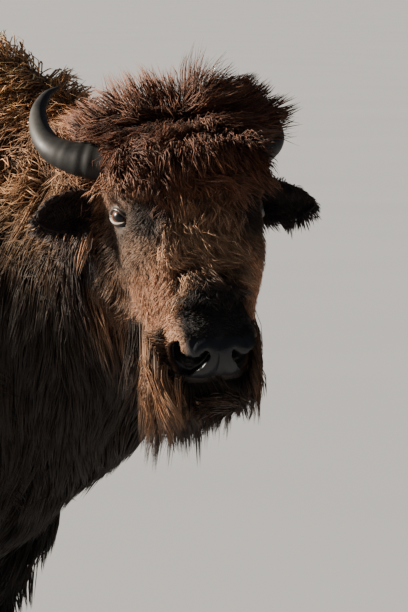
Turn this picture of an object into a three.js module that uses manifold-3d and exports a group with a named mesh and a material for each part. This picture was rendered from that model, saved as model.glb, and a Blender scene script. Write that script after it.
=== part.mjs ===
// A standing bison at life size, its head turned to its right: a still model, in millimetres.
// +Z is up, the trunk lies along X with the head at the +X end, and the animal's left is +Y.
// The flesh is a handful of lofts joined into one body, which thin cuts then part into named pieces.
// Every outline runs out to the tips of the coat.
import * as THREE from "three";
import Module from "manifold-3d";

const wasm = await Module();
wasm.setup();

// ---- Driving dimensions ----
const HUMP_TOP = 1625; // floor to the hair on the hump
const RUMP_TOP = 1310; // floor to the top of the hips
const EYE_HEIGHT = 1265; // floor to the line between the eyes
const HEAD_REACH = 1000; // from the middle of the trunk forward to the eyes
const HEAD_ASIDE = 262; // how far to the animal's right the eyes are carried
const HEAD_TURN = 48.5; // degrees that the head is turned to its right
const HEAD_ROLL = 1.5; // degrees that its right side hangs lower
const FACE_SLOPE = 62; // degrees of the face below level
const MUZZLE_LEAN = 11; // how far the nose is carried to the right of the face's middle
const EYE_SPREAD = 118; // from the middle of the head to the centre of an eyeball
const EYE_RADIUS = 20;
const FORE_TRACK = 176; // from the middle to each fore hoof
const HIND_TRACK = 165;
const CUT = 0.5; // width of the cuts that part the body
const HOOF_TOP = 72; // floor to the hairline above the hoof

// ---- Helpers ----
const vector = (p) => new THREE.Vector3(...p);
const radians = THREE.MathUtils.degToRad;
const X = new THREE.Vector3(1, 0, 0);
const Y = new THREE.Vector3(0, 1, 0);
const Z = new THREE.Vector3(0, 0, 1);

// Mirrors a point to the animal's other side: side is 1 for left, -1 for right.
const sided = (side, [x, y, z]) => [x, side * y, z];

// A station of a loft with a round section.
const round = (at, radius) => ({ at, wide: radius, up: radius, down: radius });

// One point of a section: an oval with its own height above and below the spine. It is squarer as
// `square`, or `under` for its lower half, grows past 2. A negative height folds that face in.
function sectionPoint(angle, wide, up, down, square, under) {
  const low = Math.sin(angle) < 0;
  const bend = (value) => Math.sign(value) * Math.abs(value) ** (2 / (low ? under : square));
  return [wide * bend(Math.cos(angle)), (low ? down : up) * bend(Math.sin(angle))];
}

// Skins a row of stations { at, wide, up, down, square, under } with a closed surface. With `across` and
// `above` the sections stay parallel; without them each stands square to the spine, its width kept level.
// `grow` swells the whole shape, which makes the cutter for the seat of a piece.
function loft(stations, { rings = 20, sides = 20, across, above, grow = 0 } = {}) {
  const spine = new THREE.CatmullRomCurve3(stations.map((s) => vector(s.at)));
  const sizes = new THREE.CatmullRomCurve3(stations.map((s) => new THREE.Vector3(s.wide, s.up, s.down)));
  const squares = new THREE.CatmullRomCurve3(
    stations.map(({ square = 2, under = square }) => new THREE.Vector3(square, under, 0)),
  );
  const points = [];
  for (let ring = 0; ring <= rings; ring++) {
    const t = ring / rings;
    const ending = ring === 0 ? -grow : ring === rings ? grow : 0;
    const size = sizes.getPoint(t);
    const square = squares.getPoint(t);
    const along = spine.getTangent(t);
    const centre = spine.getPoint(t).addScaledVector(along, ending);
    const sideways = across ?? new THREE.Vector3().crossVectors(Z, along).normalize();
    const upward = above ?? new THREE.Vector3().crossVectors(along, sideways).normalize();
    for (let side = 0; side < sides; side++) {
      const angle = (2 * Math.PI * side) / sides;
      const [wide, up, down] = size.toArray().map((length) => length + grow);
      const [y, z] = sectionPoint(angle, wide, up, down, square.x, square.y);
      points.push(centre.clone().addScaledVector(sideways, y).addScaledVector(upward, z));
    }
  }
  const first = points.push(spine.getPoint(0).addScaledVector(spine.getTangent(0), -grow)) - 1;
  const last = points.push(spine.getPoint(1).addScaledVector(spine.getTangent(1), grow)) - 1;
  const faces = [];
  for (let side = 0; side < sides; side++) {
    const next = (side + 1) % sides;
    const end = rings * sides;
    faces.push(first, next, side, last, end + side, end + next);
    for (let ring = 0; ring < rings; ring++) {
      const low = ring * sides;
      const high = low + sides;
      faces.push(low + side, low + next, high + next, low + side, high + next, high + side);
    }
  }
  const geometry = new THREE.BufferGeometry().setFromPoints(points);
  geometry.setIndex(faces);
  return geometry;
}

// A geometry as a solid, turned the right way out.
function solid(geometry, matrix = new THREE.Matrix4()) {
  const placed = geometry.clone().applyMatrix4(matrix);
  const make = (triVerts) =>
    new wasm.Manifold(
      new wasm.Mesh({ numProp: 3, vertProperties: placed.getAttribute("position").array, triVerts }),
    );
  const faces = new Uint32Array(placed.index.array);
  const made = make(faces);
  if (made.volume() > 0) return made;
  return make(faces.reverse());
}

function geometryOf(made) {
  const mesh = made.getMesh();
  const geometry = new THREE.BufferGeometry();
  geometry.setAttribute("position", new THREE.BufferAttribute(mesh.vertProperties, 3));
  geometry.setIndex(new THREE.BufferAttribute(mesh.triVerts, 1));
  geometry.computeVertexNormals();
  return geometry;
}

// The biggest of the bodies that a cut leaves.
function largest(made) {
  return made.decompose().reduce((best, body) => (body.volume() > best.volume() ? body : best));
}

const join = (parts) => parts.reduce((all, part) => all.add(part));

// Parts a solid at the plane through `at` square to `facing`: [what lies ahead of it, what lies behind it].
function cutAt(made, at, facing) {
  const normal = facing.clone().normalize();
  const offset = normal.dot(at);
  return [
    largest(made.trimByPlane(normal.toArray(), offset + CUT / 2)),
    largest(made.trimByPlane(normal.clone().negate().toArray(), -offset + CUT / 2)),
  ];
}

// Takes a leg out of the body: [the leg, what is left]. The cutter is a block beside the middle plane whose
// top slopes up and out: { back, front, inner, low, slope }, with `low` the top's height at the middle.
function takeLeg(made, side, { back, front, inner, low, slope }) {
  const block = (extra) => {
    const points = [];
    for (const x of [back - extra, front + extra]) {
      for (const y of [inner - extra, 600]) {
        points.push(vector([x, side * y, -100]), vector([x, side * y, low + slope * y + extra]));
      }
    }
    const geometry = new THREE.BufferGeometry().setFromPoints(points);
    geometry.setIndex([
      0, 1, 3, 0, 3, 2, 4, 6, 7, 4, 7, 5, 0, 4, 5, 0, 5, 1, 2, 3, 7, 2, 7, 6, 0, 2, 6, 0, 6, 4, 1, 5, 7, 1,
      7, 3,
    ]);
    return solid(geometry);
  };
  return [largest(made.intersect(block(0))), largest(made.subtract(block(CUT)))];
}

// ---- Colours ----
const finish = (color, roughness) => new THREE.MeshStandardMaterial({ color, roughness, metalness: 0 });
const MATERIALS = {
  cape: finish("#7d5a37", 0.95),
  coat: finish("#4a3222", 0.95),
  dark: finish("#2a1c15", 0.95),
  horn: finish("#4a4a4c", 0.45),
  hoof: finish("#262321", 0.5),
  eye: finish("#1a100b", 0.08),
};

// ---- The trunk: sections across X, from the rump to the base of the neck ----
function trunk(grow = 0) {
  const rows = [
    // x, height of the widest line, half width, top of the back, bottom of the belly, squareness above
    [-1056, 1010, 42, 1070, 935, 2],
    [-1030, 1010, 115, 1160, 845, 2],
    [-950, 1005, 192, 1252, 745, 2.1],
    [-790, 1000, 240, RUMP_TOP - 6, 708, 2.2],
    [-560, 985, 262, RUMP_TOP, 680, 2.2],
    [-300, 965, 296, RUMP_TOP + 18, 615, 2.1],
    [-60, 950, 322, 1412, 574, 2],
    [150, 940, 328, HUMP_TOP - 58, 538, 1.85],
    [300, 942, 325, HUMP_TOP, 518, 1.75],
    [430, 945, 312, HUMP_TOP - 42, 532, 1.75],
    [560, 960, 282, HUMP_TOP - 98, 622, 1.75],
    [655, 990, 222, HUMP_TOP - 155, 745, 1.9],
    [722, 1015, 105, 1330, 860, 2],
  ];
  const stations = rows.map(([x, z, wide, top, bottom, square]) => ({
    at: [x, 0, z],
    wide,
    up: top - z,
    down: z - bottom,
    square,
    under: 2,
  }));
  return solid(loft(stations, { rings: 22, sides: 18, across: Y, above: Z, grow }));
}

// ---- The neck: it bends from the trunk's line to the head's ----
const NECK = [
  { at: [480, 0, 1060], wide: 285, up: 450, down: 420, square: 1.9, under: 1.7 },
  { at: [620, -12, 1100], wide: 262, up: 398, down: 365, square: 1.9, under: 1.7 },
  { at: [745, -52, 1155], wide: 224, up: 328, down: 290, square: 2, under: 1.7 },
  { at: [840, -122, 1208], wide: 188, up: 256, down: 232, square: 2.1, under: 1.9 },
  { at: [905, -192, 1242], wide: 150, up: 192, down: 188, square: 2.1, under: 2 },
];
const neck = (grow = 0) => solid(loft(NECK, { rings: 6, sides: 18, grow }));

// ---- The head, in its own frame: the eyes' middle at the origin, X ahead, Y to its left ----
const headFrame = new THREE.Group();
headFrame.position.set(HEAD_REACH, -HEAD_ASIDE, EYE_HEIGHT);
headFrame.rotation.set(radians(HEAD_ROLL), 0, radians(-HEAD_TURN), "ZYX");
headFrame.updateMatrixWorld();
const DOWN_FACE = new THREE.Vector3(Math.cos(radians(FACE_SLOPE)), 0, -Math.sin(radians(FACE_SLOPE)));
const OUT_OF_FACE = new THREE.Vector3(Math.sin(radians(FACE_SLOPE)), 0, Math.cos(radians(FACE_SLOPE)));
const onFace = (down, out) =>
  DOWN_FACE.clone().multiplyScalar(down).addScaledVector(OUT_OF_FACE, out).toArray();

// How far the face's middle has moved to the right at a distance down the face.
const leanAt = (down) => MUZZLE_LEAN * THREE.MathUtils.smoothstep(down, 110, 290);

// Sections down the face, from the crown to the lips.
function skull(grow = 0) {
  const rows = [
    // distance down the face from the eyes, half width, front of the face, back of the jaw, squareness
    [-222, 45, 12, 60, 2],
    [-200, 96, 50, 110, 2],
    [-145, 142, 92, 150, 2.1],
    [-80, 152, 112, 172, 2.1],
    [-10, 148, 116, 184, 2.1],
    [55, 140, 106, 188, 2.1],
    [115, 129, 95, 178, 2.1],
    [170, 112, 84, 150, 2.2],
    [215, 93, 77, 118, 2.3],
    [255, 82, 74, 94, 2.4],
    [288, 76, 64, 82, 2.5],
    [310, 61, 46, 60, 2.4],
    [321, 29, 20, 28, 2],
  ];
  const stations = rows.map(([down, wide, up, back, square]) => {
    const [x, , z] = onFace(down, 0);
    return { at: [x, -leanAt(down), z], wide, up, down: back, square, under: 2.4 };
  });
  const shape = { rings: 18, sides: 16, across: Y, above: OUT_OF_FACE, grow };
  return solid(loft(stations, shape), headFrame.matrixWorld);
}

// The cheeks and the angle of the jaw, in level sections.
const CHEEKS = [
  { at: [-110, 0, 40], wide: 118, up: 60, down: 50, square: 2.4 },
  { at: [-112, 0, -10], wide: 142, up: 80, down: 60, square: 2.4 },
  { at: [-112, 0, -68], wide: 154, up: 90, down: 60, square: 2.4 },
  { at: [-95, 0, -120], wide: 144, up: 95, down: 60, square: 2.4 },
  { at: [-75, 0, -170], wide: 124, up: 90, down: 60, square: 2.4 },
  { at: [-50, 0, -215], wide: 98, up: 70, down: 50, square: 2.4 },
];
function cheeks(grow = 0) {
  const shape = { rings: 5, sides: 12, across: Y, above: X, grow };
  return solid(loft(CHEEKS, shape), headFrame.matrixWorld);
}

// The mop of hair over the crown and the roots of the horns, in level sections.
function mop(grow = 0) {
  const rows = [
    // height above the eyes, middle, half width, reach ahead, reach back, lean to the right
    [50, -40, 140, 112, 95, 0],
    [90, -52, 160, 112, 104, 0],
    [125, -70, 196, 106, 106, 0],
    [157, -80, 214, 98, 100, 0],
    [190, -84, 194, 90, 90, 2],
    [222, -86, 146, 74, 74, 8],
    [250, -88, 88, 52, 52, 16],
    [270, -90, 32, 24, 24, 22],
  ];
  const stations = rows.map(([z, x, wide, up, down, lean]) => ({
    at: [x, -lean, z],
    wide,
    up,
    down,
    square: 2.1,
  }));
  const shape = { rings: 9, sides: 16, across: Y, above: X, grow };
  return solid(loft(stations, shape), headFrame.matrixWorld);
}

// The beard hangs from the jaw and chin, in level sections from its root to its tips.
const BEARD = [
  { at: [20, 0, -190], wide: 96, up: 60, down: 120 },
  { at: [22, 0, -240], wide: 114, up: 82, down: 142 },
  { at: [20, 0, -300], wide: 119, up: 90, down: 144 },
  { at: [10, -4, -360], wide: 104, up: 80, down: 124 },
  { at: [-10, -22, -410], wide: 68, up: 52, down: 82 },
  { at: [-22, -36, -438], wide: 22, up: 18, down: 26 },
];
const beard = () => solid(loft(BEARD, { rings: 7, sides: 14, across: Y, above: X }), headFrame.matrixWorld);

// A horn leaves the side of the crown, then curls up, back and in. Rows: place and radius.
const HORN = [
  [[-82, 88, 80], 36],
  [[-100, 135, 86], 33.5],
  [[-122, 174, 94], 29],
  [[-150, 203, 109], 24],
  [[-194, 213, 137], 19],
  [[-243, 204, 169], 14],
  [[-274, 181, 196], 8.5],
  [[-288, 154, 210], 2.5],
];
function horn(side, grow = 0) {
  const stations = HORN.map(([at, radius]) => round(sided(side, at), radius));
  return loft(stations, { rings: 14, sides: 10, grow });
}

// An ear: its cup faces ahead, and it stands out level from behind the eye.
const EAR = [
  { at: [-92, 108, 6], wide: 24, up: 20, down: 22 },
  { at: [-92, 140, 6], wide: 37, up: 8, down: 24 },
  { at: [-88, 175, 3], wide: 50, up: -3, down: 21 },
  { at: [-82, 215, -2], wide: 50, up: -4, down: 17 },
  { at: [-76, 250, -7], wide: 34, up: -2, down: 11 },
  { at: [-73, 268, -9], wide: 8, up: 2, down: 4 },
];
function ear(side, grow = 0) {
  const stations = EAR.map((row) => ({ ...row, at: sided(side, row.at) }));
  return loft(stations, { rings: 8, sides: 12, across: Z, above: X, grow });
}

function eyeball(grow = 0) {
  const turns = 10;
  const stations = [];
  for (let i = 0; i <= turns / 2; i++) {
    const angle = (2 * Math.PI * i) / turns;
    const radius = Math.max((EYE_RADIUS + grow) * Math.sin(angle), 0.5);
    stations.push(round([0, -(EYE_RADIUS + grow) * Math.cos(angle), 0], radius));
  }
  return loft(stations, { rings: turns / 2, sides: turns, across: X, above: Z });
}

// ---- Legs: level sections from inside the trunk down to the hairline of the hoof ----
// Rows: x, distance from the middle, height, half width, reach ahead, reach back.
const FORE_LEG = [
  [425, 196, 960, 100, 185, 165],
  [415, 196, 800, 116, 160, 150],
  [400, 192, 660, 112, 132, 132],
  [388, 186, 560, 101, 112, 114],
  [380, 182, 480, 86, 94, 96],
  [376, 179, 410, 64, 72, 72],
  [374, 177, 355, 47, 54, 50],
  [371, FORE_TRACK, 280, 37, 43, 42],
  [369, FORE_TRACK, 195, 37, 43, 44],
  [374, FORE_TRACK, 135, 45, 53, 58],
  [386, FORE_TRACK, 98, 43, 50, 52],
  [394, FORE_TRACK, 58, 46, 54, 50],
];
const HIND_LEG = [
  [-715, 140, 1090, 90, 200, 215],
  [-722, 160, 960, 98, 210, 222],
  [-730, 172, 830, 92, 196, 182],
  [-752, 174, 715, 76, 142, 126],
  [-805, 171, 610, 56, 90, 88],
  [-846, 168, 540, 49, 64, 76],
  [-852, 166, 465, 41, 50, 54],
  [-846, HIND_TRACK, 365, 35, 43, 42],
  [-839, HIND_TRACK, 240, 35, 43, 42],
  [-832, HIND_TRACK, 155, 43, 51, 56],
  [-819, HIND_TRACK, 105, 41, 49, 50],
  [-809, HIND_TRACK, 58, 45, 54, 50],
];
const LEGS = [
  { name: "fore_left", rows: FORE_LEG, side: 1, stride: -38 },
  { name: "fore_right", rows: FORE_LEG, side: -1, stride: 34 },
  { name: "hind_left", rows: HIND_LEG, side: 1, stride: 55 },
  { name: "hind_right", rows: HIND_LEG, side: -1, stride: -45 },
];

// How far a step carries the leg forward at a height: nothing at its root, all of it at the floor.
const stepAt = (leg, z) => leg.stride * (1 - z / leg.rows[0][2]);

function leg(spec) {
  const stations = spec.rows.map(([x, y, z, wide, up, down]) => ({
    at: sided(spec.side, [x + stepAt(spec, z), y, z]),
    wide,
    up,
    down,
    square: 2.1,
  }));
  const [x, y] = spec.rows.at(-3);
  // The two small claws behind the fetlock.
  const dewclaws = [-1, 1].map((claw) =>
    solid(
      loft(
        [
          round(sided(spec.side, [x - 30 + stepAt(spec, 142), y + claw * 16, 142]), 10),
          round(sided(spec.side, [x - 62 + stepAt(spec, 116), y + claw * 22, 116]), 13),
          round(sided(spec.side, [x - 70 + stepAt(spec, 98), y + claw * 23, 98]), 7),
        ],
        { rings: 3, sides: 6, across: Y, above: X },
      ),
    ),
  );
  return join([solid(loft(stations, { rings: 15, sides: 10, across: Y, above: X })), ...dewclaws]);
}

// A hoof is two claws, joined at the hairline and parted below it, on a flat sole at the floor.
function hoof(spec) {
  const [x, y] = spec.rows.at(-1);
  const claws = [-1, 1].map((claw) => {
    const rows = [
      // height, reach ahead, reach back, half width, distance from the hoof's middle
      [HOOF_TOP - CUT, 52, 50, 26, 20],
      [HOOF_TOP * 0.66, 61, 53, 26, 23],
      [HOOF_TOP * 0.33, 71, 55, 26, 26],
      [0, 80, 56, 26, 29],
    ];
    const stations = rows.map(([z, up, down, wide, apart]) => ({
      at: sided(spec.side, [x + stepAt(spec, 0), y + claw * apart, z]),
      wide,
      up,
      down,
      square: 2.3,
    }));
    return solid(loft(stations, { rings: 3, sides: 12, across: Y, above: X }));
  });
  return join(claws).trimByPlane([0, 0, 1], 0);
}

// ---- The tail, from under the rump to the tips of its tuft ----
const TAIL = [
  round([-1000, 0, 1205], 36),
  round([-1052, 0, 1180], 33),
  round([-1092, 0, 1110], 26),
  round([-1102, 0, 1000], 20),
  round([-1102, 0, 880], 21),
  round([-1100, 0, 780], 34),
  round([-1098, 0, 680], 30),
  round([-1096, 0, 610], 6),
];
const tail = (grow = 0) => loft(TAIL, { rings: 13, sides: 8, across: Y, above: X, grow });

// ---- Assembly ----
const bison = new THREE.Group();
function piece(name, geometry, material, group = bison) {
  const mesh = new THREE.Mesh(geometry, material);
  mesh.name = name;
  group.add(mesh);
}

const head = headFrame.matrixWorld;
const inHead = (point) => vector(point).applyMatrix4(head);
const headDirection = (direction) => direction.clone().transformDirection(head);
const aside = (side) => new THREE.Matrix4().makeTranslation(0, side * EYE_SPREAD, 0);
const eyeMatrix = (side) => head.clone().multiply(aside(side));

// Seats for what the flesh holds: horns, ears, eyes and the root of the tail.
const seats = [solid(tail(CUT))];
for (const side of [1, -1]) {
  seats.push(solid(horn(side, CUT), head), solid(ear(side, CUT), head));
  seats.push(solid(eyeball(CUT), eyeMatrix(side)));
  // The opening between the lids, through the coat round the eye.
  const opening = loft(
    [
      { at: [4, side * EYE_SPREAD, 0], wide: 15, up: 15, down: 15 },
      { at: [10, side * (EYE_SPREAD + 20), 1], wide: 20, up: 16, down: 14 },
      { at: [22, side * (EYE_SPREAD + 55), 3], wide: 38, up: 32, down: 28 },
    ],
    { rings: 2, sides: 10, across: X, above: Z },
  );
  seats.push(solid(opening, head));
}

// The nostrils: blind hollows in the end of the muzzle.
const NOSTRIL = { down: 284, out: 40, aside: 50, radius: 15, depth: 34 };
for (const side of [1, -1]) {
  const at = (down, out, apart) => {
    const [x, , z] = onFace(NOSTRIL.down + down, NOSTRIL.out + out);
    return [x, side * (NOSTRIL.aside + apart) - leanAt(NOSTRIL.down), z];
  };
  const hollow = loft(
    [
      { at: at(-26, -NOSTRIL.depth + 8, -12), wide: 6, up: 5, down: 5 },
      { at: at(-6, 8, 4), wide: NOSTRIL.radius * 0.8, up: 10, down: 10 },
      { at: at(8, 44, 22), wide: NOSTRIL.radius * 1.3, up: 14, down: 14 },
    ],
    { rings: 3, sides: 8 },
  );
  seats.push(solid(hollow, head));
}

const flesh = join([trunk(), neck(), skull(), cheeks(), mop(), ...LEGS.map(leg)]).subtract(join(seats));

// The head comes off behind the jaw. The crown, under the mop, is parted above the brow, and the muzzle ahead
// of the cheeks.
const behindJaw = headDirection(new THREE.Vector3(1, 0, -0.12));
const [headSolid, behindHead] = cutAt(flesh, inHead([-118, 0, 0]), behindJaw);
const upBrow = headDirection(new THREE.Vector3(-0.15, 0, 0).sub(DOWN_FACE));
const [crown, face] = cutAt(headSolid, inHead(onFace(-88, 60)), upBrow);
const [muzzle, brow] = cutAt(face, inHead(onFace(196, 0)), headDirection(DOWN_FACE));

// The beard starts where the jaw and the throat end.
const aboveBeard = join([neck(CUT), skull(CUT), cheeks(CUT)]);
const beardSolid = largest(beard().subtract(aboveBeard));

piece("crown", geometryOf(crown), MATERIALS.coat);
piece("face", geometryOf(brow), MATERIALS.coat);
piece("muzzle", geometryOf(muzzle), MATERIALS.dark);
piece("beard", geometryOf(beardSolid), MATERIALS.coat);

// Each leg comes off below the elbow or the stifle, and each hoof is its own piece.
const FORE_BLOCK = { back: 130, front: 690, inner: 12, low: 452, slope: 0.58 };
const HIND_BLOCK = { back: -1120, front: -520, inner: 12, low: 560, slope: 0.6 };
let rest = behindHead;
for (const spec of LEGS) {
  const fore = spec.rows === FORE_LEG;
  const [limb, left] = takeLeg(rest, spec.side, fore ? FORE_BLOCK : HIND_BLOCK);
  rest = left;
  const [shank] = cutAt(limb, new THREE.Vector3(0, 0, HOOF_TOP), Z);
  piece(`${spec.name}_leg`, geometryOf(shank), fore ? MATERIALS.dark : MATERIALS.coat);
  piece(`${spec.name}_hoof`, geometryOf(hoof(spec)), MATERIALS.hoof);
}

// The trunk is parted behind the neck, behind the shoulders and ahead of the hips.
const [neckSolid, body] = cutAt(rest, new THREE.Vector3(700, 0, 1100), new THREE.Vector3(1, -0.42, 0.12));
const [forequarters, behind] = cutAt(body, new THREE.Vector3(60, 0, 0), X);
const [barrel, hindquarters] = cutAt(behind, new THREE.Vector3(-480, 0, 0), X);
piece("neck", geometryOf(neckSolid), MATERIALS.cape);
piece("hump_and_shoulders", geometryOf(forequarters), MATERIALS.cape);
piece("barrel", geometryOf(barrel), MATERIALS.coat);
piece("hindquarters", geometryOf(hindquarters), MATERIALS.coat);

const [tailDock, tailTuft] = cutAt(solid(tail()), new THREE.Vector3(0, 0, 850), Z);
piece("tail", geometryOf(tailDock), MATERIALS.coat);
piece("tail_tuft", geometryOf(tailTuft), MATERIALS.dark);

bison.add(headFrame);
const SIDES = [
  [1, "left"],
  [-1, "right"],
];
for (const [side, word] of SIDES) {
  piece(`${word}_horn`, geometryOf(solid(horn(side))), MATERIALS.horn, headFrame);
  piece(`${word}_ear`, geometryOf(solid(ear(side))), MATERIALS.dark, headFrame);
  const socket = new THREE.Group();
  socket.position.set(0, side * EYE_SPREAD, 0);
  headFrame.add(socket);
  piece(`${word}_eye`, geometryOf(solid(eyeball())), MATERIALS.eye, socket);
}

// The origin is on the floor, under the middle of the whole animal.
const bounds = new THREE.Box3().setFromObject(bison);
const middle = bounds.getCenter(new THREE.Vector3());
bison.position.set(-middle.x, -middle.y, -bounds.min.z);
const part = new THREE.Group();
part.add(bison);
export default part;
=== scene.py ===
import math

import bpy
import numpy as np
from bpy.props import FloatProperty, FloatVectorProperty, IntProperty, PointerProperty
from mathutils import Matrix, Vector
from mathutils.bvhtree import BVHTree
from mathutils.kdtree import KDTree


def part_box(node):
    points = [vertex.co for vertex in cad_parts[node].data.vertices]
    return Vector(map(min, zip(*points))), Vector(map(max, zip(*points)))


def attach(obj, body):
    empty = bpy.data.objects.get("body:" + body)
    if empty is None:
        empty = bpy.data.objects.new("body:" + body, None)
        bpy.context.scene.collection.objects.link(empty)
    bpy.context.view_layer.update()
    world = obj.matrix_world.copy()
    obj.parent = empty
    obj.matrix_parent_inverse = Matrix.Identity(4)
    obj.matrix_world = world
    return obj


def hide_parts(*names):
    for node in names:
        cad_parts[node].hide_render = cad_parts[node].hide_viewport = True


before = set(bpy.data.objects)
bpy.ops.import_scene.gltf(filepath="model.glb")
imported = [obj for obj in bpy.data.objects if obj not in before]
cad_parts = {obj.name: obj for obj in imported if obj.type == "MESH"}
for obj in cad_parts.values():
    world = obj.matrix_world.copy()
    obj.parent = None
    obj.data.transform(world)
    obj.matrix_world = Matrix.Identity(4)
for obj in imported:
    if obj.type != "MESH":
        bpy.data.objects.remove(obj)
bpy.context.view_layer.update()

bl_info = {
    "name": "Standing bison",
    "version": (1, 0, 0),
    "blender": (4, 5, 0),
    "location": "View3D > Sidebar > Bison",
    "description": "Dresses the solid bison in skin, horn, eyes and a coat of tufts",
    "category": "Object",
}

# ---- The head's own frame: the middle between the eyes, ahead, to the animal's left, and above ----


def middle_of(node):
    low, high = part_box(node)
    return (Vector(low) + Vector(high)) / 2


LEFT_EYE = middle_of("left_eye")
RIGHT_EYE = middle_of("right_eye")
HEAD_AT = (LEFT_EYE + RIGHT_EYE) / 2
ASIDE = (LEFT_EYE - RIGHT_EYE).normalized()
AHEAD = ASIDE.cross(Vector((0, 0, 1))).normalized()
ABOVE = AHEAD.cross(ASIDE)
HEAD_AXES = np.array([AHEAD, ASIDE, ABOVE])
# The face slopes down this steeply: one way runs down along it, the other stands square on it.
FACE_SLOPE = math.radians(62)
DOWN_FACE = np.array([math.cos(FACE_SLOPE), 0, -math.sin(FACE_SLOPE)])
OUT_OF_FACE = np.array([math.sin(FACE_SLOPE), 0, math.cos(FACE_SLOPE)])
EYE_ASIDE = (LEFT_EYE - RIGHT_EYE).length / 2
BODY_MIDDLE = middle_of("barrel").y
FLESH = [
    "neck",
    "hump_and_shoulders",
    "barrel",
    "hindquarters",
    "tail",
    "face",
    "muzzle",
    "fore_left_leg",
    "fore_right_leg",
    "hind_left_leg",
    "hind_right_leg",
]
SIDES = {"left": 1, "right": -1}

# Sizes of the small cubes from which the skin and the hooves are made again.
SKIN_VOXEL = 0.0135
HOOF_VOXEL = 0.0032
# The side of each tuft's patch on the unwrap of the skin.
PATCH = 0.003
# The eyeballs are turned within their lids, towards what is ahead.
EYE_TURN = math.radians(14)

# How many tufts root on each stretch of the coat. The left side's are fewer and wider.
TUFTS = {
    "mop": 11400,
    "forehead": 12000,
    "face": 18500,
    "beard": 7400,
    "ears": 5200,
    "right_cape": 12000,
    "right_neck": 12000,
    "left_cape": 5400,
    "left_neck": 5000,
    "body": 15000,
    "tail": 1100,
}

# Places along a horn's spine in the head's frame, and its radius there.
HORN = [
    ((-0.082, 0.088, 0.080), 0.0360),
    ((-0.100, 0.135, 0.086), 0.0335),
    ((-0.122, 0.174, 0.094), 0.0290),
    ((-0.150, 0.203, 0.109), 0.0240),
    ((-0.194, 0.213, 0.137), 0.0190),
    ((-0.243, 0.204, 0.169), 0.0140),
    ((-0.274, 0.181, 0.196), 0.0085),
    ((-0.288, 0.154, 0.210), 0.0022),
]
# An ear's spine, and half its height and the depth of its cup at each place.
EAR = [
    ((-0.094, 0.108, 0.004), 0.016, 0.004),
    ((-0.093, 0.132, 0.005), 0.023, 0.013),
    ((-0.090, 0.165, 0.003), 0.034, 0.017),
    ((-0.084, 0.200, 0.000), 0.036, 0.013),
    ((-0.079, 0.232, -0.004), 0.025, 0.008),
    ((-0.075, 0.252, -0.006), 0.010, 0.003),
    ((-0.074, 0.258, -0.007), 0.002, 0.001),
]


def to_head(points):
    return (np.asarray(points) - np.array(HEAD_AT)) @ HEAD_AXES.T


def from_head(points):
    return np.asarray(points) @ HEAD_AXES + np.array(HEAD_AT)


def turn_from_head(directions):
    return np.asarray(directions) @ HEAD_AXES


# ---- Numbers ----


def ease(low, high, value):
    """0 at low, 1 at high, with soft ends. low may be above high."""
    t = np.clip((np.asarray(value) - low) / (high - low), 0, 1)
    return t * t * (3 - 2 * t)


def unit(vectors):
    return vectors / np.maximum(np.linalg.norm(vectors, axis=-1, keepdims=True), 1e-9)


def drift(points, size, seed):
    """A smooth random direction for each point, that changes over about `size` metres."""
    rng = np.random.default_rng(seed)
    count = 15
    waves = unit(rng.normal(size=(3, count))) * (2 * math.pi / size) * rng.uniform(0.6, 1.8, count)
    phases = rng.uniform(0, 2 * math.pi, count)
    return np.sin(points @ waves + phases) @ rng.normal(size=(count, 3)) / 2.7


def to_linear(hex_colour):
    """An sRGB hex colour as linear red, green and blue."""
    values = [int(hex_colour[i : i + 2], 16) / 255 for i in (1, 3, 5)]
    return tuple(v / 12.92 if v <= 0.04045 else ((v + 0.055) / 1.055) ** 2.4 for v in values)


# ---- What a user may change ----


def colour_property(name, description, hex_colour):
    colour = to_linear(hex_colour)
    return FloatVectorProperty(
        name=name, description=description, subtype="COLOR", size=3, min=0, max=1, default=colour
    )


def length_property(name, description, metres):
    return FloatProperty(name=name, description=description, unit="LENGTH", min=0, default=metres)


class BisonCoat(bpy.types.PropertyGroup):
    """How deep and how long the coat is."""

    cape_depth: length_property("Cape depth", "From the tips over hump and neck in to the skin", 0.028)
    cape_rise: length_property("Cape rise", "How far the locks of the cape stand off the skin", 0.052)
    rear_depth: length_property("Rear depth", "From the skin to the tips behind the ribs", 0.016)
    cape_length: length_property("Cape length", "Length of a lock of the cape", 0.075)
    neck_length: length_property("Neck length", "Length of a lock of the neck and chest", 0.150)
    mop_length: length_property("Mop length", "Length of a lock of the mop", 0.095)
    face_length: length_property("Face length", "Length of a tuft on the cheeks", 0.020)
    seed: IntProperty(name="Seed", description="Changes where each tuft grows", default=7)


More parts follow.
